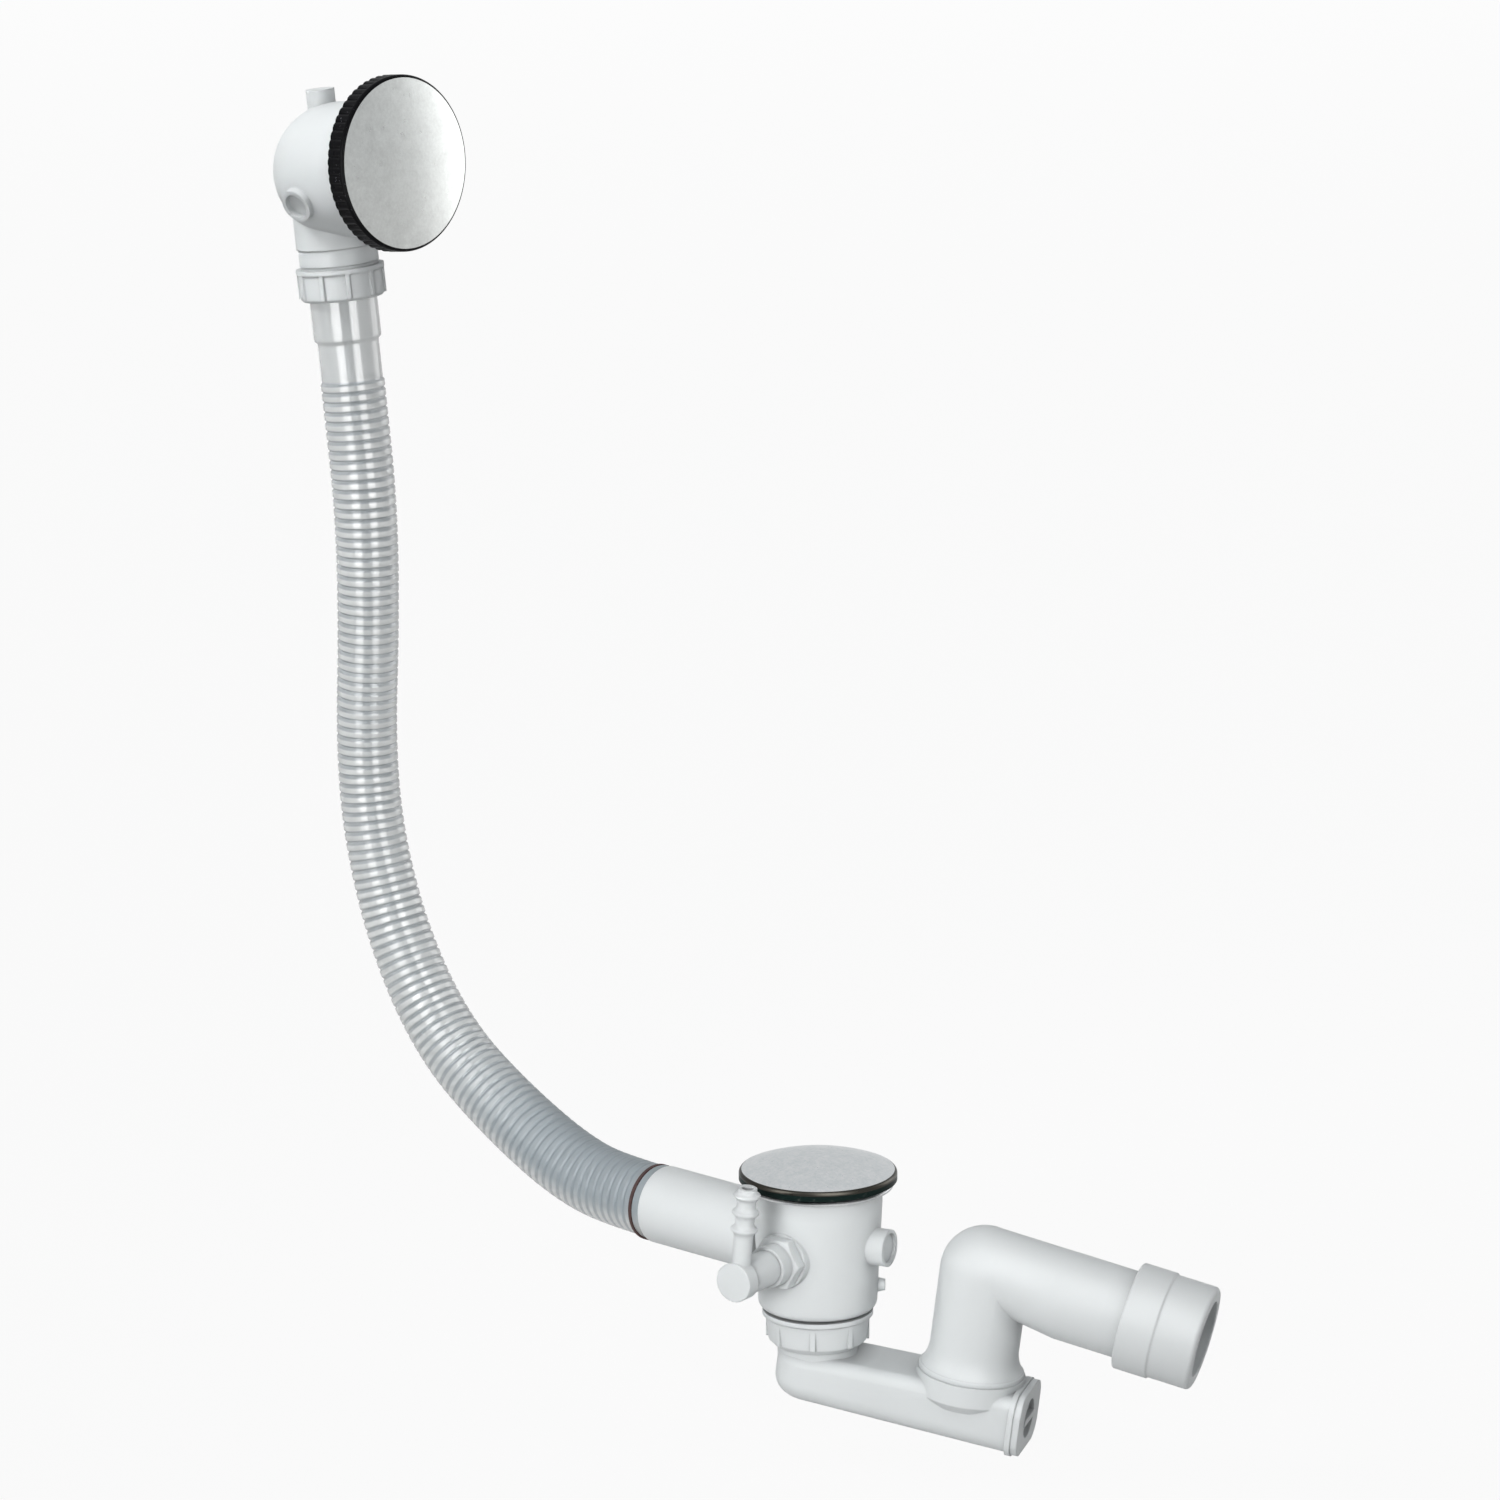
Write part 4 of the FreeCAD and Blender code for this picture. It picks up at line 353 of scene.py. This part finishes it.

# %% [markdown]
# ## Clear hose plastic
# The hose is soft clear PVC. Some light passes straight through its thin wall, which is why the
# cable inside shows, and each rib adds a darker line where the wall stands edge on; that line is
# painted shade. Transmission would bend the light truly, but it is slow and turns grey in many
# renderers. Alpha gives the see-through wall in every one. Two attributes on the mesh steer it.
# The first, rib_depth, is the tint of a ring of points: 1 in a rib's root, about 0 on its crest and
# far below 0 in the bore, which stays almost unseen. The second marks the inside of the lower
# bend, where the ribs crowd together; there it gives the wall painted shade, dull and bluish, and
# takes away most of the coat. A hard clear coat mirrors the two tall lamps as white bars.

# %% Clear plastic
def clear_plastic():
    finish = Finish("ClearPlastic", IOR=1.45, Coat_Roughness=0.07, Coat_IOR=1.9)
    tint = finish.attribute("rib_depth")
    pressed = finish.attribute("pressed")
    pale = finish.blend(finish.noise(30.0, 3.0), (0.86, 0.90, 0.895), (0.96, 0.985, 0.975))
    # painted shade: a darker line at each rib's root, where the wall stands edge on
    lined = finish.blend(tint, pale, (0.37, 0.41, 0.43))
    # painted shade on the inside of the lower bend: a darker, bluish colour
    dull = finish.blend(tint, (0.37, 0.42, 0.45), (0.30, 0.345, 0.375))
    finish.drive("Base Color", finish.blend(pressed, lined, dull))
    finish.drive("Alpha", tint * 0.18 + pressed * 0.34 + 0.54)
    finish.drive("Coat Weight", 1.0 - pressed * 0.93)
    finish.drive("Roughness", finish.noise(120.0) * 0.1 + 0.3)
    return finish.material


CLEAR = clear_plastic()
print("clear plastic:", len(CLEAR.node_tree.nodes), "nodes")

# %% [markdown]
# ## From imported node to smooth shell
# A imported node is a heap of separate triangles, so it shades in flat facets. Modelling each
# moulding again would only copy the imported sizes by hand. Merging a copy's corners is enough: the
# shading then runs smoothly over its curves, and only real edges stay sharp. The copy stands in
# for its node, and rides on the same body.

# %% Helpers for pieces
MERGE_DISTANCE = 0.001 * MM


def shade(mesh, angle):
    """Smooth shading that keeps edges sharper than the angle, in degrees."""
    mesh.polygons.foreach_set("use_smooth", [True] * len(mesh.polygons))
    work = bmesh.new()
    work.from_mesh(mesh)
    for edge in work.edges:
        edge.smooth = edge.calc_face_angle(0.0) < math.radians(angle)
    work.to_mesh(mesh)
    work.free()


def stand_in(name, mesh, node, material):
    """A piece with one material that replaces a node and rides on its body."""
    piece = bpy.data.objects.new(name, mesh)
    scene.collection.objects.link(piece)
    mesh.materials.clear()
    mesh.materials.append(material)
    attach(piece, body_of[node])
    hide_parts(node)


def smooth_copy(node, material, angle=35.0):
    """A merged, smooth copy of a node that replaces it."""
    mesh = frame["nodes"][node].data.copy()
    mesh.name = node + "_shell"
    work = bmesh.new()
    work.from_mesh(mesh)
    bmesh.ops.remove_doubles(work, verts=work.verts, dist=MERGE_DISTANCE)
    work.to_mesh(mesh)
    work.free()
    shade(mesh, angle)
    stand_in(mesh.name, mesh, node, material)


# %% The white mouldings
WHITE_NODES = [
    "waste_body",
    "nozzle_bush",
    "drain_nozzle",
    "trap_nut",
    "trap_body",
    "cleaning_cover",
    "outlet_elbow",
    "outlet_sleeve",
    "overflow_body",
    "overflow_nut",
    "cable_drum",
    "lower_holder",
    "upper_holder",
]
for node in WHITE_NODES:
    smooth_copy(node, WHITE)
print(len(WHITE_NODES), "white mouldings")

# %% The small metal, rubber and cable pieces
STEEL_NODES = [
    "plug_stem",
    "clamp_screw",
    "lever_pin",
    "pull_wire",
    "overflow_plate",
    "overflow_screws",
    "wire_turn",
    "wire_run",
    "lower_ferrule",
    "upper_ferrule",
]
SEAL_NODES = [
    "plug_seal",
    "waste_gasket",
    "nozzle_seal",
    "trap_washer",
    "riser_seal",
    "cleaning_seal",
    "sleeve_seal",
    "overflow_gasket",
    "overflow_washer",
]
for node in STEEL_NODES:
    smooth_copy(node, STEEL)
for node in SEAL_NODES:
    smooth_copy(node, SEAL)
smooth_copy("hose_ring", BROWN)
smooth_copy("lift_lever", ACETAL)
smooth_copy("cable_casing", CASING)
print(len(STEEL_NODES), "steel pieces and", len(SEAL_NODES), "seals")

# %% [markdown]
# ## The plug cap and the turn knob
# Both are turned shapes with a shallow dome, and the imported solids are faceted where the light
# runs round the edge. A Screw modifier could turn a section as well, but the spin operator gives
# the mesh at once, and the zone can be set point by point. The section starts on the axis inside,
# runs out along the underside, down and up the side wall, over a small round and back to the axis
# along the dome. A merge closes it on the axis. The round and the dome are arcs that run into
# each other without a kink.

# %% Spinning a section
ROUND_STEPS, DOME_STEPS = 6, 18
ZONE_GAP = 0.1


def arc(centre, radius, start, end, steps):
    """Points on an arc, from and to an angle in degrees that is measured from the axis outwards."""
    turns = [math.radians(start + (end - start) * i / steps) for i in range(steps + 1)]
    return [(centre[0] + radius * math.sin(turn), centre[1] + radius * math.cos(turn)) for turn in turns]


def crowned_edge(radius, top, edge, rise):
    """Round and dome from an upright wall to the axis: radius, height and zone of each point.

    The dome's first point lies a short step after the round's last one, so the zone changes there.
    """
    # sine and cosine of the dome's slope at the wall
    spread = radius * radius + rise * rise
    slope_sine = 2.0 * rise * radius / spread
    slope_cosine = (radius * radius - rise * rise) / spread
    dome_edge = radius - edge * (1.0 - slope_sine)
    height = rise + edge * (1.0 - slope_cosine)
    dome_radius = (dome_edge * dome_edge + height * height) / (2.0 * height)
    dome_turn = math.degrees(math.asin(dome_edge / dome_radius))
    centre = (0.0, top + rise - dome_radius)
    round_points = arc((radius - edge, top - edge), edge, 90.0, dome_turn, ROUND_STEPS)
    inset = math.degrees(ZONE_GAP / dome_radius)
    dome_points = arc(centre, dome_radius, dome_turn - inset, 0.0, DOME_STEPS)
    return [(*point, EDGE) for point in round_points] + [(*point, FACE) for point in dome_points]


def spun_piece(name, node, material, section, place, columns, groove=None):
    """Spin a section, in millimetres, round the Z axis of a place; it replaces a node."""
    work = bmesh.new()
    zone_layer = work.verts.layers.float.new("zone")
    last = None
    for radius, height, zone in section:
        spot = Vector((radius * MM, 0.0, height * MM))
        if last is None:
            last = bmesh.ops.create_vert(work, co=spot)["vert"][0]
        else:
            grown = bmesh.ops.extrude_vert_indiv(work, verts=[last])["verts"][0]
            bmesh.ops.translate(work, vec=spot - grown.co, verts=[grown])
            last = grown
        last[zone_layer] = zone
    geometry = list(work.verts) + list(work.edges)
    turn = {"axis": (0.0, 0.0, 1.0), "cent": (0.0, 0.0, 0.0), "angle": 2 * math.pi}
    bmesh.ops.spin(work, geom=geometry, steps=columns, use_merge=True, **turn)
    bmesh.ops.remove_doubles(work, verts=work.verts, dist=2 * MERGE_DISTANCE)
    bmesh.ops.recalc_face_normals(work, faces=work.faces)
    if groove:
        groove(work)
    bmesh.ops.transform(work, matrix=place, verts=work.verts)
    mesh = bpy.data.meshes.new(name)
    work.to_mesh(mesh)
    work.free()
    shade(mesh, angle=32.0)
    stand_in(name, mesh, node, material)
    print(name, len(mesh.polygons), "faces")


# %% The plug cap
CAP_RADIUS, CAP_WALL = 36.25, 1.8
CAP_LOW, CAP_SKIRT, CAP_ROUND, CAP_RISE = 2.8, 7.4, 1.8, 6.6
STEM, SEAL_IN, SEAL_OUT, SEAT = 2.5, 26.5, 31.0, 3.6
CAP_HUB = STEM + 3.2
CAP_CROWN = CAP_SKIRT + CAP_RISE
CAP_CEILING = CAP_CROWN - CAP_WALL
CAP_SHOULDER = CAP_SKIRT - CAP_ROUND
SEAT_RIB = SEAL_IN - CAP_WALL / 2
CAP_COLUMNS = 192
cap_section = [
    (0.0, CAP_CEILING, EDGE),
    (STEM, CAP_CEILING, EDGE),
    (STEM, SEAT, EDGE),
    (CAP_HUB, SEAT, EDGE),
    (CAP_HUB, CAP_CROWN - CAP_WALL * 1.5, EDGE),
    (SEAT_RIB, CAP_CROWN - CAP_RISE * 0.5 - CAP_WALL * 1.3, EDGE),
    (SEAT_RIB, SEAT, EDGE),
    (SEAL_OUT, SEAT, EDGE),
    (SEAL_OUT, CAP_SHOULDER, EDGE),
    (CAP_RADIUS - CAP_WALL, CAP_SHOULDER, EDGE),
    (CAP_RADIUS - CAP_WALL, CAP_LOW, WALL),
    (CAP_RADIUS, CAP_LOW, WALL),
    (CAP_RADIUS, CAP_SHOULDER - 0.6, WALL),
]
cap_section += crowned_edge(CAP_RADIUS, CAP_SKIRT, CAP_ROUND, CAP_RISE)
spun_piece("plug_cap_shell", "plug_cap", CAP_CHROME, cap_section, Matrix(), CAP_COLUMNS)
# the flange under the cap is pressed sheet, and its shallow folds stay crisp
smooth_copy("waste_flange", STEEL, angle=20.0)

# %% The turn knob's section
KNOB_RADIUS, KNOB_WALL = 41.0, 2.2
KNOB_BACK, KNOB_EDGE, KNOB_ROUND, KNOB_RISE = 2.6, 12.0, 1.6, 2.6
KNOB_TOP = KNOB_EDGE + KNOB_RISE
KNOB_SHOULDER = KNOB_EDGE - KNOB_ROUND
SPINDLE = 4.0
KNOB_HUB, KNOB_HUB_LOW = SPINDLE + 3.0, KNOB_BACK + 1.0
knob_section = [
    (0.0, KNOB_TOP - KNOB_WALL, EDGE),
    (SPINDLE, KNOB_TOP - KNOB_WALL, EDGE),
    (SPINDLE, KNOB_HUB_LOW, EDGE),
    (KNOB_HUB, KNOB_HUB_LOW, EDGE),
    (KNOB_HUB, KNOB_TOP - KNOB_WALL * 1.2, EDGE),
    (KNOB_RADIUS - KNOB_WALL, KNOB_EDGE - KNOB_WALL, EDGE),
    (KNOB_RADIUS - KNOB_WALL, KNOB_BACK, WALL),
    (KNOB_RADIUS, KNOB_BACK, WALL),
    (KNOB_RADIUS, KNOB_SHOULDER - 0.8, WALL),
    (KNOB_RADIUS, KNOB_SHOULDER - 0.4, WALL),
]
# on the knob the rounded edge gets the side wall's painted dark reflection
for radius, height, zone in crowned_edge(KNOB_RADIUS, KNOB_EDGE, KNOB_ROUND, KNOB_RISE):
    knob_section.append((radius, height, FACE if zone == FACE else WALL))
print(len(knob_section), "points in the knob's section")

# %% The turn knob and its grooves
KNURLS = 60
COLUMNS_PER_KNURL = 6
KNURL_DEPTH = 0.5 * MM
KNURL_FROM = 0.4
KNURL_TOP = (KNOB_SHOULDER - 0.6) * MM
KNURL_RADIUS = (KNOB_RADIUS - 0.1) * MM
TILT = math.radians(8.0)
FACE_WAY = Vector((math.cos(TILT), 0.0, math.sin(TILT)))
OVERFLOW = Vector((-0.2684, 0.0, 0.4385))


def knurl(work):
    """Sixty shallow grooves round the side wall: of every six columns of points, three sink in."""
    for vert in work.verts:
        radius = math.hypot(vert.co.x, vert.co.y)
        on_wall = vert.co.z < KNURL_TOP and radius > KNURL_RADIUS
        wave = math.cos(math.atan2(vert.co.y, vert.co.x) * KNURLS)
        if on_wall and wave > KNURL_FROM:
            sunk = (radius - KNURL_DEPTH * wave) / radius
            vert.co.x *= sunk
            vert.co.y *= sunk


knob_turn = FACE_WAY.to_track_quat("Z", "Y").to_matrix().to_4x4()
knob_place = Matrix.Translation(OVERFLOW) @ knob_turn
KNOB_COLUMNS = KNURLS * COLUMNS_PER_KNURL
spun_piece("turn_knob", "overflow_knob", KNOB_CHROME, knob_section, knob_place, KNOB_COLUMNS, knurl)

# %% [markdown]
# ## The ribbed hose
# The real hose is a thin wall pleated into about a hundred ribs. An Array modifier could repeat one
# rib along a curve, but it shears the ribs in the bends. Here every ring of points stands square to
# the line instead. The centre line is a smooth NURBS curve through the same points as the solid
# model's route. A circle starts the skin; each new ring is extruded from the last one and moved to
# its place on the curve, out on a crest and in at a root. At the lower end the skin turns inwards
# and runs back as the smooth bore.

# %% The hose's centre line
NECK_BEHIND_FACE = 0.0384
NECK_ORIGIN = OVERFLOW - FACE_WAY * NECK_BEHIND_FACE
DOWN = Vector((math.sin(TILT), 0.0, -math.cos(TILT)))
HOSE_START = 0.0588
FIRST_RUN = 0.052
ROUTE = [
    NECK_ORIGIN + DOWN * HOSE_START,
    NECK_ORIGIN + DOWN * (HOSE_START + FIRST_RUN),
    Vector((-0.2840, 0.0, 0.2700)),
    Vector((-0.2834, 0.0, 0.2140)),
    Vector((-0.2862, 0.0, 0.1580)),
    Vector((-0.2816, 0.0, 0.1120)),
    Vector((-0.2648, 0.0, 0.0630)),
    Vector((-0.2360, 0.0, 0.0210)),
    Vector((-0.1970, 0.0, -0.0050)),
    Vector((-0.1520, 0.0, -0.0260)),
    Vector((-0.1180, 0.0, -0.0305)),
    Vector((-0.0710, 0.0, -0.0305)),
]


def centre_line(points):
    """Points along the smooth curve, close together."""
    curve = bpy.data.curves.new("HoseLine", "CURVE")
    curve.dimensions = "3D"
    spline = curve.splines.new("NURBS")
    spline.points.add(len(points) - 1)
    for control, point in zip(spline.points, points):
        control.co = (*point, 1.0)
    spline.order_u = 3
    spline.use_endpoint_u = True
    spline.resolution_u = 40
    holder = bpy.data.objects.new("HoseLine", curve)
    mesh = bpy.data.meshes.new_from_object(holder)
    line = [vertex.co.copy() for vertex in mesh.vertices]
    bpy.data.objects.remove(holder)
    bpy.data.meshes.remove(mesh)
    return line


LINE = centre_line(ROUTE)
REACH = [0.0]
for before, after in zip(LINE, LINE[1:]):
    REACH.append(REACH[-1] + (after - before).length)
LENGTH = REACH[-1]
print("hose length", round(LENGTH, 4), "m")


def station(distance):
    """Place on the centre line at a distance from the top, with Z along it."""
    distance = min(max(distance, 0.0), LENGTH)
    index = max(1, bisect_left(REACH, distance))
    share = (distance - REACH[index - 1]) / (REACH[index] - REACH[index - 1])
    point = LINE[index - 1].lerp(LINE[index], share)
    before = LINE[max(index - 2, 0)]
    after = LINE[min(index + 1, len(LINE) - 1)]
    along = (after - before).normalized()
    side = Vector((0.0, 1.0, 0.0))
    across = side.cross(along).normalized()
    turn = Matrix((across, side, along)).transposed().to_4x4()
    return Matrix.Translation(point) @ turn


# %% How wide the ribs stand
RIBS = 102
RIB_DEPTH = 0.0008
RIBS_START = 0.043
CREST_TOP, CREST_WAIST, CREST_END = 0.0151, 0.0143, 0.0171
WAIST = 0.36
SHALLOWER = 0.55
SHALLOW_ALONG = (0.6, 0.85)
SOCKET = 0.0245
LIP = 0.0046
RING_WIDTH = 0.0016
LIP_END = LENGTH - SOCKET
RIBS_END = LIP_END - LIP - RING_WIDTH
PITCH = (RIBS_END - RIBS_START) / RIBS


def crest(share):
    """Radius of the ribs: a little thinner where the hose is stretched, wider at its end."""
    if share < WAIST:
        blend = 0.5 - 0.5 * math.cos(math.pi * share / WAIST)
        return CREST_TOP + (CREST_WAIST - CREST_TOP) * blend
    blend = 0.5 - 0.5 * math.cos(math.pi * (share - WAIST) / (1 - WAIST))
    return CREST_WAIST + (CREST_END - CREST_WAIST) * blend


def ramp(value, low, high):
    """Smooth step from 0 at low to 1 at high."""
    share = min(max((value - low) / (high - low), 0.0), 1.0)
    return share * share * (3.0 - 2.0 * share)


print(RIBS, "ribs, pitch", round(PITCH / MM, 2), "mm")

# %% The hose's rings
RIM, CUFF, NECK = 0.0178, 0.0159, 0.0144
SEAT_RADIUS, LIP_RADIUS = 0.0152, 0.0176
CUFF_TINT, LIP_TINT = 0.34, 0.2
BORE, BORE_TINT, BORE_RINGS = 0.0122, -2.6, 60
# one rib: share of the pitch, share of the rib's depth, tint, which paints the shade of its darker line
RIB = [
    (0.0, 1.0, 1.0),
    (0.12, 0.6, 1.0),
    (0.22, 0.1, 1.0),
    (0.30, 0.0, 0.7),
    (0.42, 0.0, -0.1),
    (0.70, 0.0, -0.2),
    (0.80, 0.0, 0.5),
    (0.90, 0.4, 1.0),
]
# each ring: distance from the top, radius, tint; first the rim, the cuff and the neck below it
rings = [
    (0.0, RIM, 0.0),
    (0.0019, RIM, 0.0),
    (0.0021, CUFF, CUFF_TINT),
    (0.0028, CUFF, CUFF_TINT),
    (0.0215, CUFF, CUFF_TINT),
    (0.0225, CUFF, CUFF_TINT),
    (0.0234, 0.0157, 0.5),
    (0.0244, 0.0146, 0.4),
    (0.0252, NECK, CUFF_TINT),
    (0.0262, NECK, CUFF_TINT),
    (RIBS_START - 0.0022, NECK, CUFF_TINT),
    (RIBS_START - 0.0012, NECK, CUFF_TINT),
]
# the ribs, which are shallower in the lower bend
for i in range(RIBS):
    middle = (i + 0.5) / RIBS
    depth = RIB_DEPTH * (1.0 - SHALLOWER * ramp(middle, *SHALLOW_ALONG))
    for share, sunk, tint in RIB:
        rings.append((RIBS_START + PITCH * (i + share), crest(middle) - depth * sunk, tint))
# the seat of the brown ring, the lip after it and the end in the socket
rings += [
    (RIBS_END, SEAT_RADIUS, 1.0),
    (RIBS_END + RING_WIDTH, SEAT_RADIUS, 1.0),
    (RIBS_END + RING_WIDTH + 0.0002, LIP_RADIUS, LIP_TINT),
    (LIP_END - 0.0004, LIP_RADIUS, LIP_TINT),
    (LIP_END - 0.0001, SEAT_RADIUS, LIP_TINT),
    (LENGTH, SEAT_RADIUS, 0.0),
]
OUTER_RINGS = len(rings)
for i in range(BORE_RINGS + 1):
    rings.append((LENGTH * (1 - i / BORE_RINGS), BORE, BORE_TINT))
print(OUTER_RINGS, "rings outside and", BORE_RINGS + 1, "in the bore")

# %% The hose's skin
SEGMENTS = 40
# the inside of the lower bend, which takes the painted shade, faces up, towards the waste and a little
# to the front
PRESSED_SHADE_SIDE = Vector((0.62, -0.20, 0.76)).normalized()
PRESSED_SHADE_ALONG = (0.62, 0.84)
PRESSED_SHADE_AROUND = (-0.40, 0.25)


def hose_skin(rings, outer):
    """One closed skin through all rings; only the first rings, the outer ones, get the bend's painted
    shade.
    """
    work = bmesh.new()
    tint_layer = work.verts.layers.float.new("rib_depth")
    pressed_shade_layer = work.verts.layers.float.new("pressed")
    bmesh.ops.create_circle(work, segments=SEGMENTS, radius=1.0, cap_ends=False)
    places = []
    for distance, radius, _ in rings:
        places.append(station(distance) @ Matrix.Diagonal((radius, radius, 1.0, 1.0)))
    bmesh.ops.transform(work, matrix=places[0], verts=work.verts)
    edges = list(work.edges)
    first = list(edges)
    for vert in work.verts:
        vert[tint_layer] = rings[0][2]
    for i in range(1, len(rings)):
        grown = bmesh.ops.extrude_edge_only(work, edges=edges)["geom"]
        verts = [item for item in grown if isinstance(item, bmesh.types.BMVert)]
        edges = [item for item in grown if isinstance(item, bmesh.types.BMEdge)]
        bmesh.ops.transform(work, matrix=places[i] @ places[i - 1].inverted(), verts=verts)
        middle = places[i].translation
        # how far along the hose the painted shade of the bend reaches
        shade_along_bend = ramp(rings[i][0] / LENGTH, *PRESSED_SHADE_ALONG) if i < outer else 0.0
        for vert in verts:
            vert[tint_layer] = rings[i][2]
            facing = (vert.co - middle).normalized().dot(PRESSED_SHADE_SIDE)
            vert[pressed_shade_layer] = shade_along_bend * ramp(facing, *PRESSED_SHADE_AROUND)
    bmesh.ops.bridge_loops(work, edges=first + edges)
    bmesh.ops.recalc_face_normals(work, faces=work.faces)
    mesh = bpy.data.meshes.new("ribbed_hose")
    work.to_mesh(mesh)
    work.free()
    return mesh


hose_mesh = hose_skin(rings, OUTER_RINGS)
shade(hose_mesh, angle=60.0)
stand_in("ribbed_hose", hose_mesh, "overflow_hose", CLEAR)
print(len(hose_mesh.polygons), "faces in the hose")

# %% [markdown]
# ## Floor and background
# A plain pale floor lies under the lowest point. A white floor with more light on it would wash
# out the white plastic, so the floor is a middle grey that the Light Path node shows as almost
# white to the camera and, more weakly, to mirrors. A small share of it stays paint even there,
# and keeps a faint shadow of the object. The world behind it does the same, and fills the shadows
# a little.

# %% The floor
FLOOR_GAP = 12.0 * MM
FLOOR_REACH = 30.0
SEEN_WHITE = 0.94
MIRRORED = 0.6

floor_level = min(corner.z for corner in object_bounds()) - FLOOR_GAP
floor_place = Matrix.Translation((0.0, 0.0, floor_level))
floor_work = bmesh.new()
bmesh.ops.create_grid(floor_work, x_segments=1, y_segments=1, size=FLOOR_REACH)
bmesh.ops.transform(floor_work, matrix=floor_place, verts=floor_work.verts)
floor_mesh = bpy.data.meshes.new("Floor")
floor_work.to_mesh(floor_mesh)
floor_work.free()
floor = bpy.data.objects.new("Floor", floor_mesh)
scene.collection.objects.link(floor)
floor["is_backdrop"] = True

paint = Finish("FloorPaint", Base_Color=(0.5, 0.5, 0.5), Roughness=0.9, Specular_IOR_Level=0.0)
plain_view = paint.ray("Is Camera Ray").either(paint.ray("Is Transmission Ray"))
glow = paint.node("ShaderNodeEmission", {}, {"Color": (1.0, 1.0, 1.0), "Strength": 1.0})
painted = Socket(paint, paint.shader.outputs[0])
white_share = plain_view * SEEN_WHITE + paint.ray("Is Glossy Ray") * MIRRORED
mixed = paint.node("ShaderNodeMixShader", {}, {0: white_share, 1: painted, 2: glow})
paint.feed(paint.tree.nodes["Material Output"].inputs["Surface"], mixed)
floor_mesh.materials.append(paint.material)
print("floor at", round(floor_level, 4), "m")

# %% The world
FILL = 0.26
world = bpy.data.worlds.new("World")
world.use_nodes = True
scene.world = world
sky = Nodes(world.node_tree)
background = sky.tree.nodes["Background"]
sky.feed(background.inputs["Color"], (0.97, 0.985, 1.0))
seen = sky.ray("Is Camera Ray") * (1.0 - FILL) + sky.ray("Is Transmission Ray") * (1.0 - FILL)
sky.feed(background.inputs["Strength"], seen + sky.ray("Is Glossy Ray") * (MIRRORED - FILL) + FILL)
print("fill from the world", FILL)

# %% [markdown]
# ## The lamps
# White plastic on white needs light from few sides, or its rounds go flat. One large soft box would
# do for a single part, but this object is tall and thin, so each lamp is small, has a narrow spread
# and lights one part of it. The front lamp stands a little left of the camera, as high as it, and
# lights the waste and the trap: faces that look at the camera are bright, and the tops, undersides
# and right edges turn grey. A lamp from the left and above lights the overflow, one beside the
# camera the middle of the hose, and a small one from the right lifts the waste body's dark side. A
# wide weak lamp behind keeps the far side readable. Three more lamps light nothing and are only
# seen in reflections: two tall ones near the hose make the white bars on it, and a large one
# whitens the right half of the knob's face.

# %% The lamps
CAMERA_HEADING = AZIMUTH - math.pi / 2
WIDE_OPEN = 180.0


def soft_lamp(name, turn, rise, distance, size, glow, target, spread=WIDE_OPEN, mirror_only=False):
    """Soft box that is turned by an angle from the camera's heading and looks at a target.

    Its glow is the brightness of its face seen from the target, where 1 is white. A narrow spread
    gathers the light towards the target, so it needs less power.
    """
    heading = CAMERA_HEADING + math.radians(turn)
    place = target + Vector((math.cos(heading) * distance, math.sin(heading) * distance, rise))
    lamp = bpy.data.lights.new(name, "AREA")
    lamp.shape = "RECTANGLE"
    lamp.size, lamp.size_y = size
    lamp.energy = glow * math.pi * size[0] * size[1]
    if spread < WIDE_OPEN:
        half = math.radians(spread / 2)
        lamp.spread = 2 * half
        lamp.energy *= (math.tan(half) - half) / math.tan(half)
    item = bpy.data.objects.new(name, lamp)
    scene.collection.objects.link(item)
    item.location = place
    item.rotation_euler = (target - place).to_track_quat("-Z", "Y").to_euler()
    item.visible_camera = False
    item.visible_diffuse = not mirror_only
    item.visible_glossy = mirror_only


# %% The lamps that light the object
WASTE = Vector((0.05, 0.01, -0.02))
WASTE_SIDE = Vector((0.0, 0.0, -0.03))
OVERFLOW_BACK = OVERFLOW + Vector((-0.02, 0.0, 0.02))
HOSE_BEND = Vector((-0.26, 0.0, 0.15))
MIDDLE = Vector((-0.1, 0.0, 0.15))
# each lamp: name, turn, rise, distance, size, glow, target
soft_lamp("LampFront", -20.0, 0.42, 1.5, (0.6, 0.55), 19.2, WASTE, spread=42.0)
soft_lamp("LampOverflow", -70.0, 0.75, 0.7, (0.4, 0.4), 30.5, OVERFLOW_BACK, spread=34.0)
soft_lamp("LampHose", -15.0, 0.4, 1.6, (0.6, 0.6), 14.5, HOSE_BEND, spread=30.0)
soft_lamp("LampRight", 70.0, 0.35, 0.9, (0.3, 0.3), 11.0, WASTE_SIDE, spread=24.0)
soft_lamp("LampBehind", 180.0, 0.6, 4.4, (3.0, 1.2), 3.7, MIDDLE)

# %% The lamps that are only mirrored
HOSE_UPPER = Vector((-0.288, 0.0, 0.25))
# each lamp: name, turn, rise, distance, size, glow, target
soft_lamp("BarLeft", -29.5, 0.12, 0.6, (0.32, 0.76), 4.6, HOSE_UPPER, mirror_only=True)
soft_lamp("BarRight", 31.5, 0.12, 0.6, (0.29, 0.76), 4.6, HOSE_UPPER, mirror_only=True)
soft_lamp("KnobGlow", 117.0, 0.1, 2.2, (1.26, 1.6), 2.0, OVERFLOW, mirror_only=True)
print(len(bpy.data.lights), "lamps")
